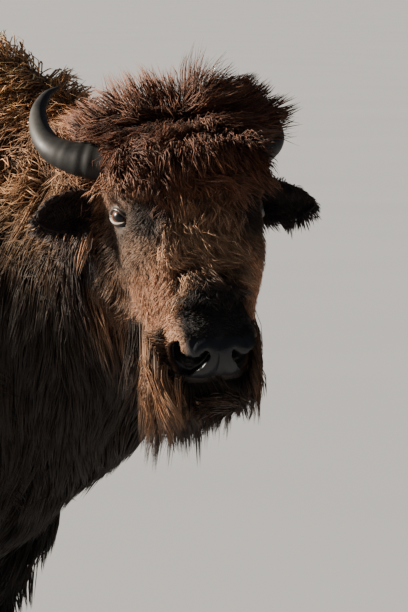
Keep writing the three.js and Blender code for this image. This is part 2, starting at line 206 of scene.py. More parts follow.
class BisonColours(bpy.types.PropertyGroup):
    """The coat's colours, which skin and tufts share."""

    cape_gold: colour_property("Cape gold", "Sun-bleached wool on the hump", "#b58c66")
    cape_brown: colour_property("Cape brown", "Wool of the shoulder", "#5b412a")
    neck_dark: colour_property("Neck", "Long hair of the neck and throat", "#21170f")
    chest_dark: colour_property("Chest", "Long hair of the chest and the upper forelegs", "#17100c")
    barrel_brown: colour_property("Barrel", "Short coat of the flank", "#4d3624")
    hind_brown: colour_property("Hindquarters", "Short coat of the hips", "#3f2c1e")
    leg_dark: colour_property("Legs", "Short coat of the lower legs", "#1e1611")
    mop_red: colour_property("Mop", "Long hair over the crown", "#46291a")
    forehead_tan: colour_property("Forehead", "Shaggy hair down the middle of the face", "#5b4534")
    cheek_tan: colour_property("Cheek", "Short coat of the cheeks", "#a1765a")
    # The hollow's colour is its dark hair with painted shade from the brow in it; it also darkens round the
    # eyes and the lids' rims.
    hollow_dark_and_shade: colour_property("Hollow", "The dark hollow between eye and forehead", "#251b15")
    # The bridge's colour is the nose's own dark short coat with painted shade in it.
    bridge_dark_and_shade: colour_property("Bridge", "Short coat of the nose", "#191514")
    nose_skin: colour_property("Nose", "Bare skin round the nostrils", "#17171b")
    beard_gold: colour_property("Beard", "The beard's outer locks", "#6a4b34")
    beard_dark: colour_property("Under beard", "The beard's inner locks and the chin", "#221812")
    ear_dark: colour_property("Ear", "Hair of the ears", "#261c19")
    lid_pale: colour_property("Lid", "The wet rim of the lower lid", "#a0968e")


class BisonHead(bpy.types.PropertyGroup):
    """Sizes of the eyes and the muzzle."""

    eye_radius: length_property("Eyeball", "Radius of an eyeball", 0.0200)
    opening_width: length_property("Eye opening", "Half the width between the lids", 0.0172)
    opening_height: length_property("Eye opening height", "Half the height between the lids", 0.0112)
    nostril_depth: length_property("Nostril depth", "How deep a nostril is", 0.030)
    mouth_depth: length_property("Mouth depth", "How deep the line of the mouth is", 0.007)


class BisonStage(bpy.types.PropertyGroup):
    """The floor, the lights and the camera."""

    distance: length_property("Camera distance", "From the camera to the head, along the floor", 5.0)
    height: length_property("Camera height", "Above the floor", 1.70)
    azimuth: FloatProperty(
        name="Azimuth", description="Degrees from the animal's right side towards its front", default=25.0
    )
    lens: FloatProperty(name="Lens", description="Focal length in millimetres", default=169.1)
    key_power: FloatProperty(name="Key", description="Strength of the low sun", min=0, default=19.0)
    fill: FloatProperty(name="Fill", description="Strength of the light from all round", min=0, default=0.14)


# ---- Materials ----


def add_node(tree, kind, settings=None, links=None):
    """Adds a node, sets its properties and unlinked sockets, and links sockets: {input: (node, output)}."""
    node = tree.nodes.new(kind)
    for key, value in (settings or {}).items():
        if isinstance(key, str) and hasattr(node, key) and key not in node.inputs:
            setattr(node, key, value)
        else:
            node.inputs[key].default_value = value
    for socket, (source, output) in (links or {}).items():
        tree.links.new(source.outputs[output], node.inputs[socket])
    return node


def add_noise(tree, at, scale, detail, roughness=0.5):
    """Random cells, `scale` of them to each unit of the coordinates `at`."""
    settings = {"Scale": scale, "Detail": detail, "Roughness": roughness}
    return add_node(tree, "ShaderNodeTexNoise", settings, {"Vector": at})


def add_range(tree, source, low, high, to_low, to_high):
    """Turns values from low to high into values from to_low to to_high."""
    settings = {"From Min": low, "From Max": high, "To Min": to_low, "To Max": to_high}
    return add_node(tree, "ShaderNodeMapRange", settings, {"Value": source})


def add_product(tree, first, second):
    return add_node(tree, "ShaderNodeMath", {"operation": "MULTIPLY"}, {0: first, 1: second})


def add_sum(tree, first, times, second):
    """The first value times a number, plus the second value."""
    settings = {"operation": "MULTIPLY_ADD", 1: times}
    return add_node(tree, "ShaderNodeMath", settings, {0: first, 2: second})


def add_shade(tree, colour, level):
    """A colour made lighter or darker."""
    return add_node(tree, "ShaderNodeVectorMath", {"operation": "SCALE"}, {0: colour, "Scale": level})


def add_tint(tree, colour, share, hex_colour):
    """A colour with a share of another one mixed in."""
    settings = {"data_type": "RGBA", "B": (*to_linear(hex_colour), 1)}
    return add_node(tree, "ShaderNodeMix", settings, {"Factor": share, "A": colour})


def add_ramp(tree, source, *stops):
    """Runs from one colour to another. Each of the two stops is a value and its colour."""
    ramp = add_node(tree, "ShaderNodeValToRGB", None, {"Fac": source})
    for index, (at, hex_colour) in enumerate(stops):
        ramp.color_ramp.elements[index].position = at
        ramp.color_ramp.elements[index].color = (*to_linear(hex_colour), 1)
    return ramp


def add_bump(tree, height, strength, metres, invert=False):
    settings = {"Strength": strength, "Distance": metres, "invert": invert}
    return add_node(tree, "ShaderNodeBump", settings, {"Height": height})


def new_material(name):
    material = bpy.data.materials.new(name)
    material.use_nodes = True
    tree = material.node_tree
    tree.nodes.clear()
    return material, tree


def finish_material(tree, settings, links):
    """Adds the surface itself and sends it to the output."""
    shader = add_node(tree, "ShaderNodeBsdfPrincipled", settings, links)
    output = tree.nodes.new("ShaderNodeOutputMaterial")
    tree.links.new(shader.outputs[0], output.inputs["Surface"])


def hair_material(name, roughness, streak_mm):
    """Dry hair in locks: dull, with streaks of `streak_mm`, paler and darker than the coat's colour."""
    material, tree = new_material(name)
    colour = add_node(tree, "ShaderNodeAttribute", {"attribute_name": "coat_colour"})
    place = add_node(tree, "ShaderNodeTexCoord")
    streaks = add_noise(tree, (place, "Object"), scale=1000 / streak_mm, detail=2.0, roughness=0.6)
    spread = add_range(tree, (streaks, "Fac"), 0.3, 0.7, 0.72, 1.25)
    shaded = add_shade(tree, (colour, "Color"), (spread, "Result"))
    bump = add_bump(tree, (streaks, "Fac"), strength=0.35, metres=0.0006)
    sheen = {"Sheen Weight": 0.06, "Sheen Roughness": 0.5}
    settings = {"Roughness": roughness, "Specular IOR Level": 0.22, **sheen}
    finish_material(tree, settings, {"Base Color": (shaded, 0), "Normal": (bump, "Normal")})
    return material


def hide_material():
    """Short fur over hide, dull and finely streaked, and bare moist skin on the nose and the rims of the
    eyes, pebbled in grains of about 2.4 mm."""
    material, tree = new_material("short_fur_and_moist_nose_skin")
    colour = add_node(tree, "ShaderNodeAttribute", {"attribute_name": "coat_colour"})
    bare = add_node(tree, "ShaderNodeAttribute", {"attribute_name": "bare"})
    place = add_node(tree, "ShaderNodeTexCoord")
    # Hairs lie down and back, so a streak is about 2.4 mm across, 5 mm from front to back and 10 mm high.
    stretch = {"Scale": (0.5, 1.0, 0.25)}
    combed = add_node(tree, "ShaderNodeMapping", stretch, {"Vector": (place, "Object")})
    fur = add_noise(tree, (combed, "Vector"), scale=420.0, detail=3.0, roughness=0.65)
    patches = add_noise(tree, (place, "Object"), scale=14.0, detail=3.0)
    streaked = add_range(tree, (fur, "Fac"), 0.3, 0.7, 0.6, 1.3)
    patched = add_range(tree, (patches, "Fac"), 0.3, 0.7, 0.85, 1.12)
    furry = add_product(tree, (streaked, "Result"), (patched, "Result"))
    # Bare skin keeps its own even colour.
    level = add_node(
        tree,
        "ShaderNodeMix",
        {"data_type": "FLOAT", "B": 1.0},
        {"Factor": (bare, "Fac"), "A": (furry, "Value")},
    )
    shaded = add_shade(tree, (colour, "Color"), (level, "Result"))
    grains = add_node(
        tree,
        "ShaderNodeTexVoronoi",
        {"feature": "SMOOTH_F1", "Scale": 420.0, "Smoothness": 0.4},
        {"Vector": (place, "Object")},
    )
    fur_bump = add_bump(tree, (fur, "Fac"), strength=0.8, metres=0.002)
    skin_bump = add_bump(tree, (grains, "Distance"), strength=0.5, metres=0.0006, invert=True)
    bump = add_node(
        tree,
        "ShaderNodeMix",
        {"data_type": "VECTOR"},
        {"Factor": (bare, "Fac"), "A": (fur_bump, "Normal"), "B": (skin_bump, "Normal")},
    )
    rough = add_range(tree, (bare, "Fac"), 0.0, 1.0, 0.85, 0.34)
    links = {"Base Color": (shaded, 0), "Roughness": (rough, "Result"), "Normal": (bump, "Result")}
    finish_material(tree, {"Specular IOR Level": 0.4}, links)
    return material


def horn_material():
    """Weathered horn: dark grey, lighter where it is worn, darkened nearly black towards the root as painted
    shade from the mop, with growth rings there and fine grain along it. Its own UV map runs round it, then
    from root to tip."""
    material, tree = new_material("weathered_horn")
    along = add_node(tree, "ShaderNodeUVMap", {"uv_map": "grain"})
    place = add_node(tree, "ShaderNodeTexCoord")
    apart = add_node(tree, "ShaderNodeSeparateXYZ", None, {"Vector": (along, "UV")})
    # A fibre is one 120th of the way round and 33 mm long, and a ring comes about every 15 mm.
    stretched = add_node(tree, "ShaderNodeMapping", {"Scale": (60.0, 5.0, 1.0)}, {"Vector": (along, "UV")})
    fibres = add_noise(tree, (stretched, "Vector"), scale=2.0, detail=4.0, roughness=0.6)
    worn = add_noise(tree, (place, "Object"), scale=28.0, detail=4.0, roughness=0.6)
    tone = add_sum(tree, (fibres, "Fac"), 0.55, (worn, "Fac"))
    ramp = add_ramp(tree, (tone, "Value"), (0.50, "#141518"), (1.0, "#35332f"))
    # Painted shade: the horn is darkened nearly black towards its root, where the mop of hair shades it.
    root_shade = add_range(tree, (apart, "Y"), 0.25, 0.65, 0.85, 0.0)
    darkened = add_tint(tree, (ramp, "Color"), (root_shade, "Result"), "#0d0d0e")
    rings = add_node(
        tree,
        "ShaderNodeTexWave",
        {"wave_type": "BANDS", "bands_direction": "Y", "Scale": 7.0, "Distortion": 1.6, "Detail": 2.0},
        {"Vector": (along, "UV")},
    )
    near_root = add_range(tree, (apart, "Y"), 0.15, 0.5, 1.0, 0.0)
    ringed = add_product(tree, (rings, "Fac"), (near_root, "Result"))
    height = add_sum(tree, (fibres, "Fac"), 0.4, (ringed, "Value"))
    bump = add_bump(tree, (height, "Value"), strength=0.4, metres=0.0006)
    rough = add_range(tree, (worn, "Fac"), 0.3, 0.7, 0.48, 0.7)
    links = {"Base Color": (darkened, "Result"), "Roughness": (rough, "Result"), "Normal": (bump, "Normal")}
    finish_material(tree, {"Specular IOR Level": 0.35}, links)
    return material


def hoof_material():
    """Hoof wall: near-black horn, dull with dust, with growth lines about 10 mm apart round it."""
    material, tree = new_material("dull_hoof_horn")
    place = add_node(tree, "ShaderNodeTexCoord")
    lines = add_node(
        tree,
        "ShaderNodeTexWave",
        {"wave_type": "BANDS", "bands_direction": "Z", "Scale": 32.0, "Distortion": 3.0, "Detail Scale": 0.8},
        {"Vector": (place, "Object")},
    )
    dust = add_noise(tree, (place, "Object"), scale=45.0, detail=5.0, roughness=0.65)
    ramp = add_ramp(tree, (dust, "Fac"), (0.35, "#1a1715"), (0.75, "#4b423a"))
    bump = add_bump(tree, (lines, "Fac"), strength=0.4, metres=0.0008)
    settings = {"Roughness": 0.55, "Specular IOR Level": 0.4}
    finish_material(tree, settings, {"Base Color": (ramp, "Color"), "Normal": (bump, "Normal")})
    return material


def eye_material():
    """A wet eye: dark brown iris round a wide, level pupil, under a clear film. Its UV map is the iris seen
    from ahead, with the pupil at the middle and the eyeball's radius as 1."""
    material, tree = new_material("wet_eye")
    plan = add_node(tree, "ShaderNodeUVMap", {"uv_map": "iris"})
    apart = add_node(tree, "ShaderNodeSeparateXYZ", None, {"Vector": (plan, "UV")})
    flat = add_node(tree, "ShaderNodeCombineXYZ", None, {"X": (apart, "X"), "Y": (apart, "Y")})
    reach = add_node(tree, "ShaderNodeVectorMath", {"operation": "LENGTH"}, {0: (flat, 0)})
    wide = {"operation": "MULTIPLY", 1: (0.75, 1.1, 0.0)}
    pupil = add_node(tree, "ShaderNodeVectorMath", wide, {0: (flat, 0)})
    pupil_reach = add_node(tree, "ShaderNodeVectorMath", {"operation": "LENGTH"}, {0: (pupil, 0)})
    place = add_node(tree, "ShaderNodeTexCoord")
    fibres = add_noise(tree, (place, "Object"), scale=700.0, detail=3.0)
    iris = add_ramp(tree, (fibres, "Fac"), (0.35, "#2a140c"), (0.7, "#6b3b22"))
    edge = add_range(tree, (reach, "Value"), 0.66, 0.76, 0.0, 1.0)
    rimmed = add_tint(tree, (iris, "Color"), (edge, "Result"), "#120c0a")
    white = add_range(tree, (reach, "Value"), 0.88, 0.97, 0.0, 1.0)
    whitened = add_tint(tree, (rimmed, "Result"), (white, "Result"), "#574a44")
    opening = add_range(tree, (pupil_reach, "Value"), 0.36, 0.44, 1.0, 0.0)
    finished = add_tint(tree, (whitened, "Result"), (opening, "Result"), "#060608")
    film = {"Coat Weight": 0.35, "Coat Roughness": 0.03, "Coat IOR": 1.38}
    settings = {"Roughness": 0.3, "Specular IOR Level": 0.2, **film}
    finish_material(tree, settings, {"Base Color": (finished, "Result")})
    return material


def floor_material():
    """Matt studio paint, mid grey and nearly even."""
    material, tree = new_material("matt_studio_floor")
    place = add_node(tree, "ShaderNodeTexCoord")
    cloud = add_noise(tree, (place, "Object"), scale=0.6, detail=3.0)
    ramp = add_ramp(tree, (cloud, "Fac"), (0.0, "#96989c"), (1.0, "#9fa1a5"))
    finish_material(tree, {"Roughness": 0.9, "Specular IOR Level": 0.2}, {"Base Color": (ramp, "Color")})
    return material


# ---- Meshes ----


def only(*objects):
    """Selects just these, with the first as the active one."""
    bpy.ops.object.select_all(action="DESELECT")
    for item in objects:
        item.select_set(True)
    bpy.context.view_layer.objects.active = objects[0]


def join(*objects):
    only(*objects)
    bpy.ops.object.join()
    return objects[0]


def apply_modifier(piece, kind, **settings):
    modifier = piece.modifiers.new(kind.title(), kind)
    for key, value in settings.items():
        setattr(modifier, key, value)
    only(piece)
    bpy.ops.object.modifier_apply(modifier=modifier.name)


def places(mesh):
    values = np.empty(len(mesh.vertices) * 3)
    mesh.vertices.foreach_get("co", values)
    return values.reshape(-1, 3)


def set_places(mesh, points):
    mesh.vertices.foreach_set("co", np.ascontiguousarray(points).ravel())
    mesh.update()


def normals(mesh):
    values = np.empty(len(mesh.vertices) * 3)
    mesh.vertex_normals.foreach_get("vector", values)
    return values.reshape(-1, 3)


def triangles_of(mesh, kind="vertices"):
    """The corners of each triangle, as numbers of vertices or of loops."""
    mesh.calc_loop_triangles()
    corners = np.empty(len(mesh.loop_triangles) * 3, dtype=np.int32)
    mesh.loop_triangles.foreach_get(kind, corners)
    return corners.reshape(-1, 3)


def tree_of(mesh):
    return BVHTree.FromPolygons(places(mesh).tolist(), triangles_of(mesh).tolist())


def node_mesh(name):
    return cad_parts[name].data


def node_copy(name):
    """A copy of a CAD node, with its doubled vertices merged."""
    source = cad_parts[name]
    piece = source.copy()
    piece.data = source.data.copy()
    piece.parent = None
    piece.name = f"{name}_copy"
    bpy.context.collection.objects.link(piece)
    only(piece)
    bpy.ops.object.mode_set(mode="EDIT")
    bpy.ops.mesh.select_all(action="SELECT")
    bpy.ops.mesh.remove_doubles(threshold=0.00002)
    bpy.ops.object.mode_set(mode="OBJECT")
    piece.data.materials.clear()
    return piece


def face_outward(piece):
    """Turns all of a piece's faces the same way, outward where it is closed."""
    only(piece)
    bpy.ops.object.mode_set(mode="EDIT")
    bpy.ops.mesh.select_all(action="SELECT")
    bpy.ops.mesh.normals_make_consistent(inside=False)
    bpy.ops.object.mode_set(mode="OBJECT")


def soften(mesh, rounds, weight=None):
    """Evens a surface out. Each pull inward is followed by a slightly stronger push out, so that it doesn't
    shrink. `weight` from 0 to 1 says how much for each vertex."""
    edges = np.empty(len(mesh.edges) * 2, dtype=np.int32)
    mesh.edges.foreach_get("vertices", edges)
    edges = edges.reshape(-1, 2)
    points = places(mesh)
    count = np.bincount(edges.ravel(), minlength=len(points))[:, None]
    share = np.ones(len(points)) if weight is None else weight
    for step in range(rounds * 2):
        total = np.zeros_like(points)
        for axis in range(3):
            total[:, axis] = np.bincount(edges[:, 0], points[edges[:, 1], axis], len(points))
            total[:, axis] += np.bincount(edges[:, 1], points[edges[:, 0], axis], len(points))
        pull = total / np.maximum(count, 1) - points
        strength = 0.55 if step % 2 == 0 else -0.57
        points = points + pull * strength * share[:, None]
    set_places(mesh, points)


def new_object(name, mesh):
    piece = bpy.data.objects.new(name, mesh)
    bpy.context.collection.objects.link(piece)
    return piece


def grid_mesh(name, rows, closed):
    """A surface through rows of points; each row closes on itself if `closed`."""
    rows = np.asarray(rows)
    count, across = rows.shape[:2]
    last = across if closed else across - 1
    faces = []
    for i in range(count - 1):
        for j in range(last):
            k = (j + 1) % across
            faces.append((i * across + j, i * across + k, (i + 1) * across + k, (i + 1) * across + j))
    mesh = bpy.data.meshes.new(name)
    mesh.from_pydata(rows.reshape(-1, 3).tolist(), [], faces)
    return mesh


def smooth_shade(piece):
    only(piece)
    bpy.ops.object.shade_smooth()


def point_values(mesh, name, values):
    """Writes a number for each vertex."""
    attribute = mesh.attributes.get(name) or mesh.attributes.new(name, "FLOAT", "POINT")
    attribute.data.foreach_set("value", np.asarray(values, dtype=np.float32))


def point_colours(mesh, name, colours):
    attribute = mesh.attributes.get(name) or mesh.attributes.new(name, "FLOAT_COLOR", "POINT")
    full = np.ones((len(colours), 4), dtype=np.float32)
    full[:, :3] = colours
    attribute.data.foreach_set("color", full.ravel())


def spine(rows, steps):
    """Points and sizes spaced along a row of (place, size, ...) on a smooth curve."""
    table = np.array([[*place, *sizes] for place, *sizes in rows])
    padded = np.vstack([2 * table[0] - table[1], table, 2 * table[-1] - table[-2]])
    out = []
    for t in np.linspace(0, len(table) - 1, steps):
        i = min(int(t), len(table) - 2)
        f = t - i
        a, b, c, d = padded[i : i + 4]
        bend = (2 * a - 5 * b + 4 * c - d) * f**2
        twist = (3 * b - a - 3 * c + d) * f**3
        out.append(0.5 * (2 * b + (c - a) * f + bend + twist))
    return np.array(out)


# ---- Markings: one function colours both skin and coat ----


def paint(base, colour, weight):
    return base + (np.array(colour) - base) * weight[:, None]


def markings(points, colours):
    """The coat's colour at each point, in linear light."""
    x, y, z = to_head(points).T
    down = to_head(points) @ DOWN_FACE
    out = to_head(points) @ OUT_OF_FACE
    aside = np.abs(y)
    along, height = points[:, 0], points[:, 2]
    wander = drift(points, size=0.35, seed=11)[:, 0] * 0.04
    c = np.tile(np.array(colours.hind_brown), (len(points), 1))
    c = paint(c, colours.barrel_brown, ease(-0.95, -0.45, along))
    cape = ease(-0.14, 0.06, along + wander)
    c = paint(c, colours.cape_brown, cape)
    c = paint(c, colours.cape_gold, cape * ease(1.20, 1.42, height + wander))
    c = paint(c, colours.neck_dark, ease(0.28, 0.50, along + wander) * ease(1.36, 1.18, height + wander))
    c = paint(c, colours.chest_dark, ease(-0.05, 0.25, along) * ease(0.92, 0.62, height + wander))
    c = paint(c, colours.leg_dark, ease(0.70, 0.48, height + wander) * ease(0.1, -0.1, along))
    c = paint(c, colours.leg_dark, ease(0.48, 0.36, height))
    c = paint(c, colours.leg_dark, ease(-1.085, -1.11, along) * ease(1.0, 0.8, height))
    # The mop's red runs on down the nape.
    c = paint(c, colours.mop_red, ease(-0.52, -0.34, x) * ease(0.02, 0.09, z + wander) * 0.8)
    on_head = ease(-0.19, -0.12, x) * ease(0.34, 0.30, aside)
    face = np.tile(np.array(colours.cheek_tan), (len(points), 1))
    face = paint(face, colours.neck_dark, ease(-0.125, -0.155, x) * ease(-0.02, -0.08, z))
    face = paint(face, colours.neck_dark, ease(-0.11, -0.17, out) * ease(-0.16, -0.22, z) * 0.8)
    face = paint(face, colours.forehead_tan, ease(0.075, 0.045, aside) * ease(0.20, 0.16, down))
    under_eye = ease(0.060, 0.030, np.hypot(aside - 0.105, (down - 0.055) * 0.8))
    face = paint(face, colours.forehead_tan, under_eye * 0.85)
    round_eye = ease(0.066, 0.038, np.hypot(aside - 0.104, down - 0.004))
    face = paint(face, colours.hollow_dark_and_shade, round_eye * 0.65)
    # Painted shade: the hollow between eye and forehead is darkened for its dark hair and for the shadow the
    # brow casts into it.
    hollow = ease(0.040, 0.020, np.hypot(aside - 0.080, (down - 0.014) * 0.55)) * ease(0.02, 0.05, out)
    face = paint(face, colours.hollow_dark_and_shade, hollow)
    face = paint(face, colours.mop_red, ease(0.025, 0.095, z + wander * 0.5))
    # The bridge of the nose: its own dark coat, painted darker still as shade.
    width = 0.012 + 0.050 * ease(0.10, 0.235, down)
    bridge = ease(0.10, 0.16, down) * ease(width + 0.014, width - 0.006, aside) * ease(0.0, 0.03, out)
    face = paint(face, colours.bridge_dark_and_shade, bridge)
    chin = ease(0.285, 0.305, down) * ease(0.045, 0.02, out)
    face = paint(face, colours.beard_dark, np.maximum(chin, ease(0.02, -0.02, out) * ease(0.22, 0.26, down)))
    ear = ease(0.128, 0.145, aside) * ease(-0.03, -0.05, x) * ease(0.075, 0.06, z)
    face = paint(face, colours.ear_dark, ear * ease(-0.13, -0.10, z))
    face = paint(face, colours.mop_red, ear * ease(0.026, 0.045, z) * 0.8)
    return c + (face - c) * on_head[:, None]


def coat_depth(points, settings):
    """From the tips of the coat in to the skin, at each point of the outer shape."""
    x, y, z = to_head(points).T
    down = to_head(points) @ DOWN_FACE
    out = to_head(points) @ OUT_OF_FACE
    aside = np.abs(y)
    along, height = points[:, 0], points[:, 2]
    fore = ease(-0.14, 0.10, along)
    depth = settings.rear_depth + (settings.cape_depth - settings.rear_depth) * fore
    leg = np.where(along > 0, ease(0.60, 0.50, height), ease(0.75, 0.60, height))
    upper = np.where(along > 0, 0.030, 0.013)
    depth = depth + (upper - depth) * leg
    depth = depth + (0.006 - depth) * np.where(along > 0, ease(0.46, 0.34, height), ease(0.50, 0.40, height))
    tail = ease(-1.06, -1.09, along)
    depth = depth + (0.006 - depth) * tail
    on_head = ease(-0.16, -0.10, x) * ease(0.30, 0.25, aside)
    face = np.full(len(points), 0.017)
    face = face + (0.032 - face) * ease(0.085, 0.05, aside) * ease(0.19, 0.13, down) * ease(0.02, 0.06, out)
    face = face + (0.034 - face) * ease(-0.03, -0.10, out) * ease(-0.10, -0.18, z)
    face = face + (0.005 - face) * ease(0.18, 0.25, down)
    face = face + (0.004 - face) * ease(0.07, 0.10, z)
    return depth + (face - depth) * on_head


# ---- The skin ----


def flesh_shape():
    """One closed surface round all the flesh, at the tips of the coat, with a low poll under the mop."""
    parts = [node_copy(name) for name in FLESH]
    # Each dome's middle and half sizes, in the head's frame. These four close the crown.
    domes = [
        ((-0.070, 0, 0.062), (0.098, 0.118, 0.100)),
        ((-0.088, 0, 0.128), (0.088, 0.150, 0.056)),
        ((-0.050, 0, 0.090), (0.086, 0.122, 0.088)),
        ((-0.110, 0, 0.0), (0.085, 0.120, 0.120)),
    ]
    # These fill the eyes' openings and the nostrils, which are shaped again in the skin.
    nostril = DOWN_FACE * 0.272 + OUT_OF_FACE * 0.040
    for side in SIDES.values():
        domes.append(((0.000, side * 0.104, 0.002), (0.036, 0.042, 0.038)))
        domes.append(((nostril[0], side * 0.046, nostril[2]), (0.030, 0.028, 0.030)))
    for at, size in domes:
        bpy.ops.object.select_all(action="DESELECT")
        bpy.ops.mesh.primitive_uv_sphere_add(segments=32, ring_count=20, radius=1.0)
        dome = bpy.context.object
        turned = from_head(places(dome.data) * np.array(size) + np.array(at))
        set_places(dome.data, turned)
        parts.append(dome)
    skin = join(*parts)
    skin.name = "skin"
    apply_modifier(skin, "DISPLACE", strength=0.0015, mid_level=0.0)
    apply_modifier(skin, "REMESH", mode="VOXEL", voxel_size=SKIN_VOXEL)
    # The poll is lower and narrower than the mop of hair that stands on it, most on its right.
    poll_height = 0.115
    x, y, z = to_head(places(skin.data)).T
    near = ease(-0.52, -0.34, x)
    y = y * (1 - 0.14 * near * ease(0.09, 0.17, z))
    lowered = near * (0.58 - 0.34 * ease(0.0, 0.09, y))
    z = z - lowered * np.maximum(z - poll_height, 0)
    set_places(skin.data, from_head(np.stack([x, y, z], 1)))
    return skin


def refine_head(skin):
    """Gives the head finer faces, for the lids, the nostrils and the lips."""
    mesh = skin.data
    x, y, z = to_head(places(mesh)).T
    inside = (x > -0.13) & (np.abs(y) < 0.19) & (z > -0.32) & (z < 0.13)
    only(skin)
    bpy.ops.object.mode_set(mode="EDIT")
    bpy.ops.mesh.select_all(action="DESELECT")
    bpy.ops.object.mode_set(mode="OBJECT")
    mesh.vertices.foreach_set("select", inside)
    corner = np.empty(len(mesh.loops), dtype=np.int32)
    mesh.loops.foreach_get("vertex_index", corner)
    starts = np.empty(len(mesh.polygons), dtype=np.int32)
    mesh.polygons.foreach_get("loop_start", starts)
    chosen = np.minimum.reduceat(inside[corner].astype(np.int8), starts) > 0
    mesh.polygons.foreach_set("select", chosen)
    bpy.ops.object.mode_set(mode="EDIT")
    bpy.ops.mesh.select_mode(type="FACE")
    bpy.ops.mesh.subdivide(number_cuts=3)
    bpy.ops.object.mode_set(mode="OBJECT")


def muzzle_lean():
    """How far the muzzle's middle is to the side of the eyes' middle."""
    y = to_head(places(node_mesh("muzzle")))[:, 1]
    return (y.min() + y.max()) / 2


def nostril_reach(down, aside):
    """Distance from a nostril's curved slit, and how far along it the nearest place is."""
    # Places along the slit: down the face, and to the side of the muzzle's middle.
    slit = np.array(
        [(0.262, 0.072), (0.279, 0.071), (0.293, 0.063), (0.300, 0.050), (0.297, 0.036), (0.289, 0.026)]
    )
    best = np.full(len(down), 9.0)
    where = np.zeros(len(down))
    for i in range(len(slit) - 1):
        at, way = slit[i], slit[i + 1] - slit[i]
        t = np.clip(((down - at[0]) * way[0] + (aside - at[1]) * way[1]) / (way @ way), 0, 1)
        gap = np.hypot(down - at[0] - t * way[0], aside - at[1] - t * way[1])
        near = gap < best
        best = np.where(near, gap, best)
        where = np.where(near, (i + t) / (len(slit) - 1), where)
    return best, where


def shape_head(skin, settings, lean):
    """Moves the fine faces of the head into brows, hollows, nostrils, nose pad and mouth."""
    mesh = skin.data
    x, y, z = to_head(places(mesh)).T
    fine = ease(-0.15, -0.11, x) * ease(-0.34, -0.31, z) * ease(0.15, 0.12, z) * ease(0.21, 0.18, np.abs(y))
    soften(mesh, 9, fine)
    points = to_head(places(mesh))
    facing = normals(mesh) @ HEAD_AXES.T
    aside = np.abs(points[:, 1])
    swell = np.zeros(len(points))
    for at, radius, push in (
        ((-0.004, 0.122, 0.036), 0.036, 0.008),  # brow over the eye
        ((0.010, 0.124, -0.030), 0.030, 0.003),  # bag under the eye
        ((0.062, 0.074, 0.000), 0.036, -0.006),  # hollow beside the forehead
        ((0.050, 0.122, -0.080), 0.042, 0.003),  # cheek bone
    ):
        gap = np.sqrt((points[:, 0] - at[0]) ** 2 + (aside - at[1]) ** 2 + (points[:, 2] - at[2]) ** 2)
        swell += push * ease(radius, 0, gap)
    points += facing * swell[:, None]
    down = points @ DOWN_FACE
    out = points @ OUT_OF_FACE
    apart = np.abs(points[:, 1] - lean * ease(0.10, 0.27, down))
    front = ease(0.005, 0.03, out)
    gap, where = nostril_reach(down, apart)
    # The wing of the nostril stands up round the slit, and the pad between is flat.
    wing = ease(0.032, 0.014, gap) * front
    points += (OUT_OF_FACE * 0.0045 + DOWN_FACE * 0.001) * wing[:, None]
    points += facing * (0.003 * ease(0.020, 0.004, np.abs(gap - 0.015)) * front)[:, None]
    slit_width = 0.0125 - 0.006 * np.abs(where - 0.45) / 0.55
    slit = ease(1.0, 0.45, gap / slit_width) * front
    inward = -OUT_OF_FACE * 0.75 - np.array([0, 0.35, 0]) * np.sign(points[:, 1])[:, None] - DOWN_FACE * 0.35
    points += inward * (settings.nostril_depth * slit)[:, None]
    groove = ease(0.0035, 0.0, apart) * ease(0.285, 0.295, down) * ease(0.322, 0.315, down)
    groove = groove * ease(0.02, 0.03, out)
    points -= OUT_OF_FACE * (0.0015 * groove)[:, None]
    lip_line = 0.020 - 0.20 * apart - 0.30 * np.maximum(0.300 - down, 0)
    mouth = ease(0.0052, 0.0, np.abs(out - lip_line)) * ease(0.215, 0.240, down)
    points -= facing * (settings.mouth_depth * mouth)[:, None]
    lower_lip = ease(0.022, 0.004, np.abs(out - lip_line + 0.014)) * ease(0.27, 0.30, down)
    points += facing * (0.004 * lower_lip)[:, None]
    set_places(mesh, from_head(points))
    pad = ease(0.258, 0.268, down) * ease(0.060, 0.048, apart) * ease(0.004, 0.014, out - lip_line)
    bare = np.maximum.reduce([pad * fine, slit * fine, mouth * fine, wing * ease(0.055, 0.045, apart) * fine])
    return bare, slit * fine, mouth * fine


def eye_axes(side):
    """An eye's middle, its gaze, the line of its lids towards the nose, and up, in the head's frame."""
    middle = np.array([0, side * EYE_ASIDE, -0.004])
    gaze = unit(np.array([0.60, side * 0.80, 0.06]))
    along = np.array([0.80, -side * 0.60, -0.20])
    along = unit(along - gaze * (along @ gaze))
    upward = np.cross(gaze, along) * side * -1
    return middle, gaze, along, upward if upward[2] > 0 else -upward


def eye_gap(head):
    """How far each point of the head's frame is from the nearer eye's middle."""
    return np.minimum(*(np.linalg.norm(head - eye_axes(side)[0], axis=1) for side in SIDES.values()))


def look_ahead(direction, side):
    """Turns a direction of an eyeball by EYE_TURN towards what is ahead."""
    angle = EYE_TURN * side
    x, y, z = direction
    return np.array([x * math.cos(angle) + y * math.sin(angle), y * math.cos(angle) - x * math.sin(angle), z])


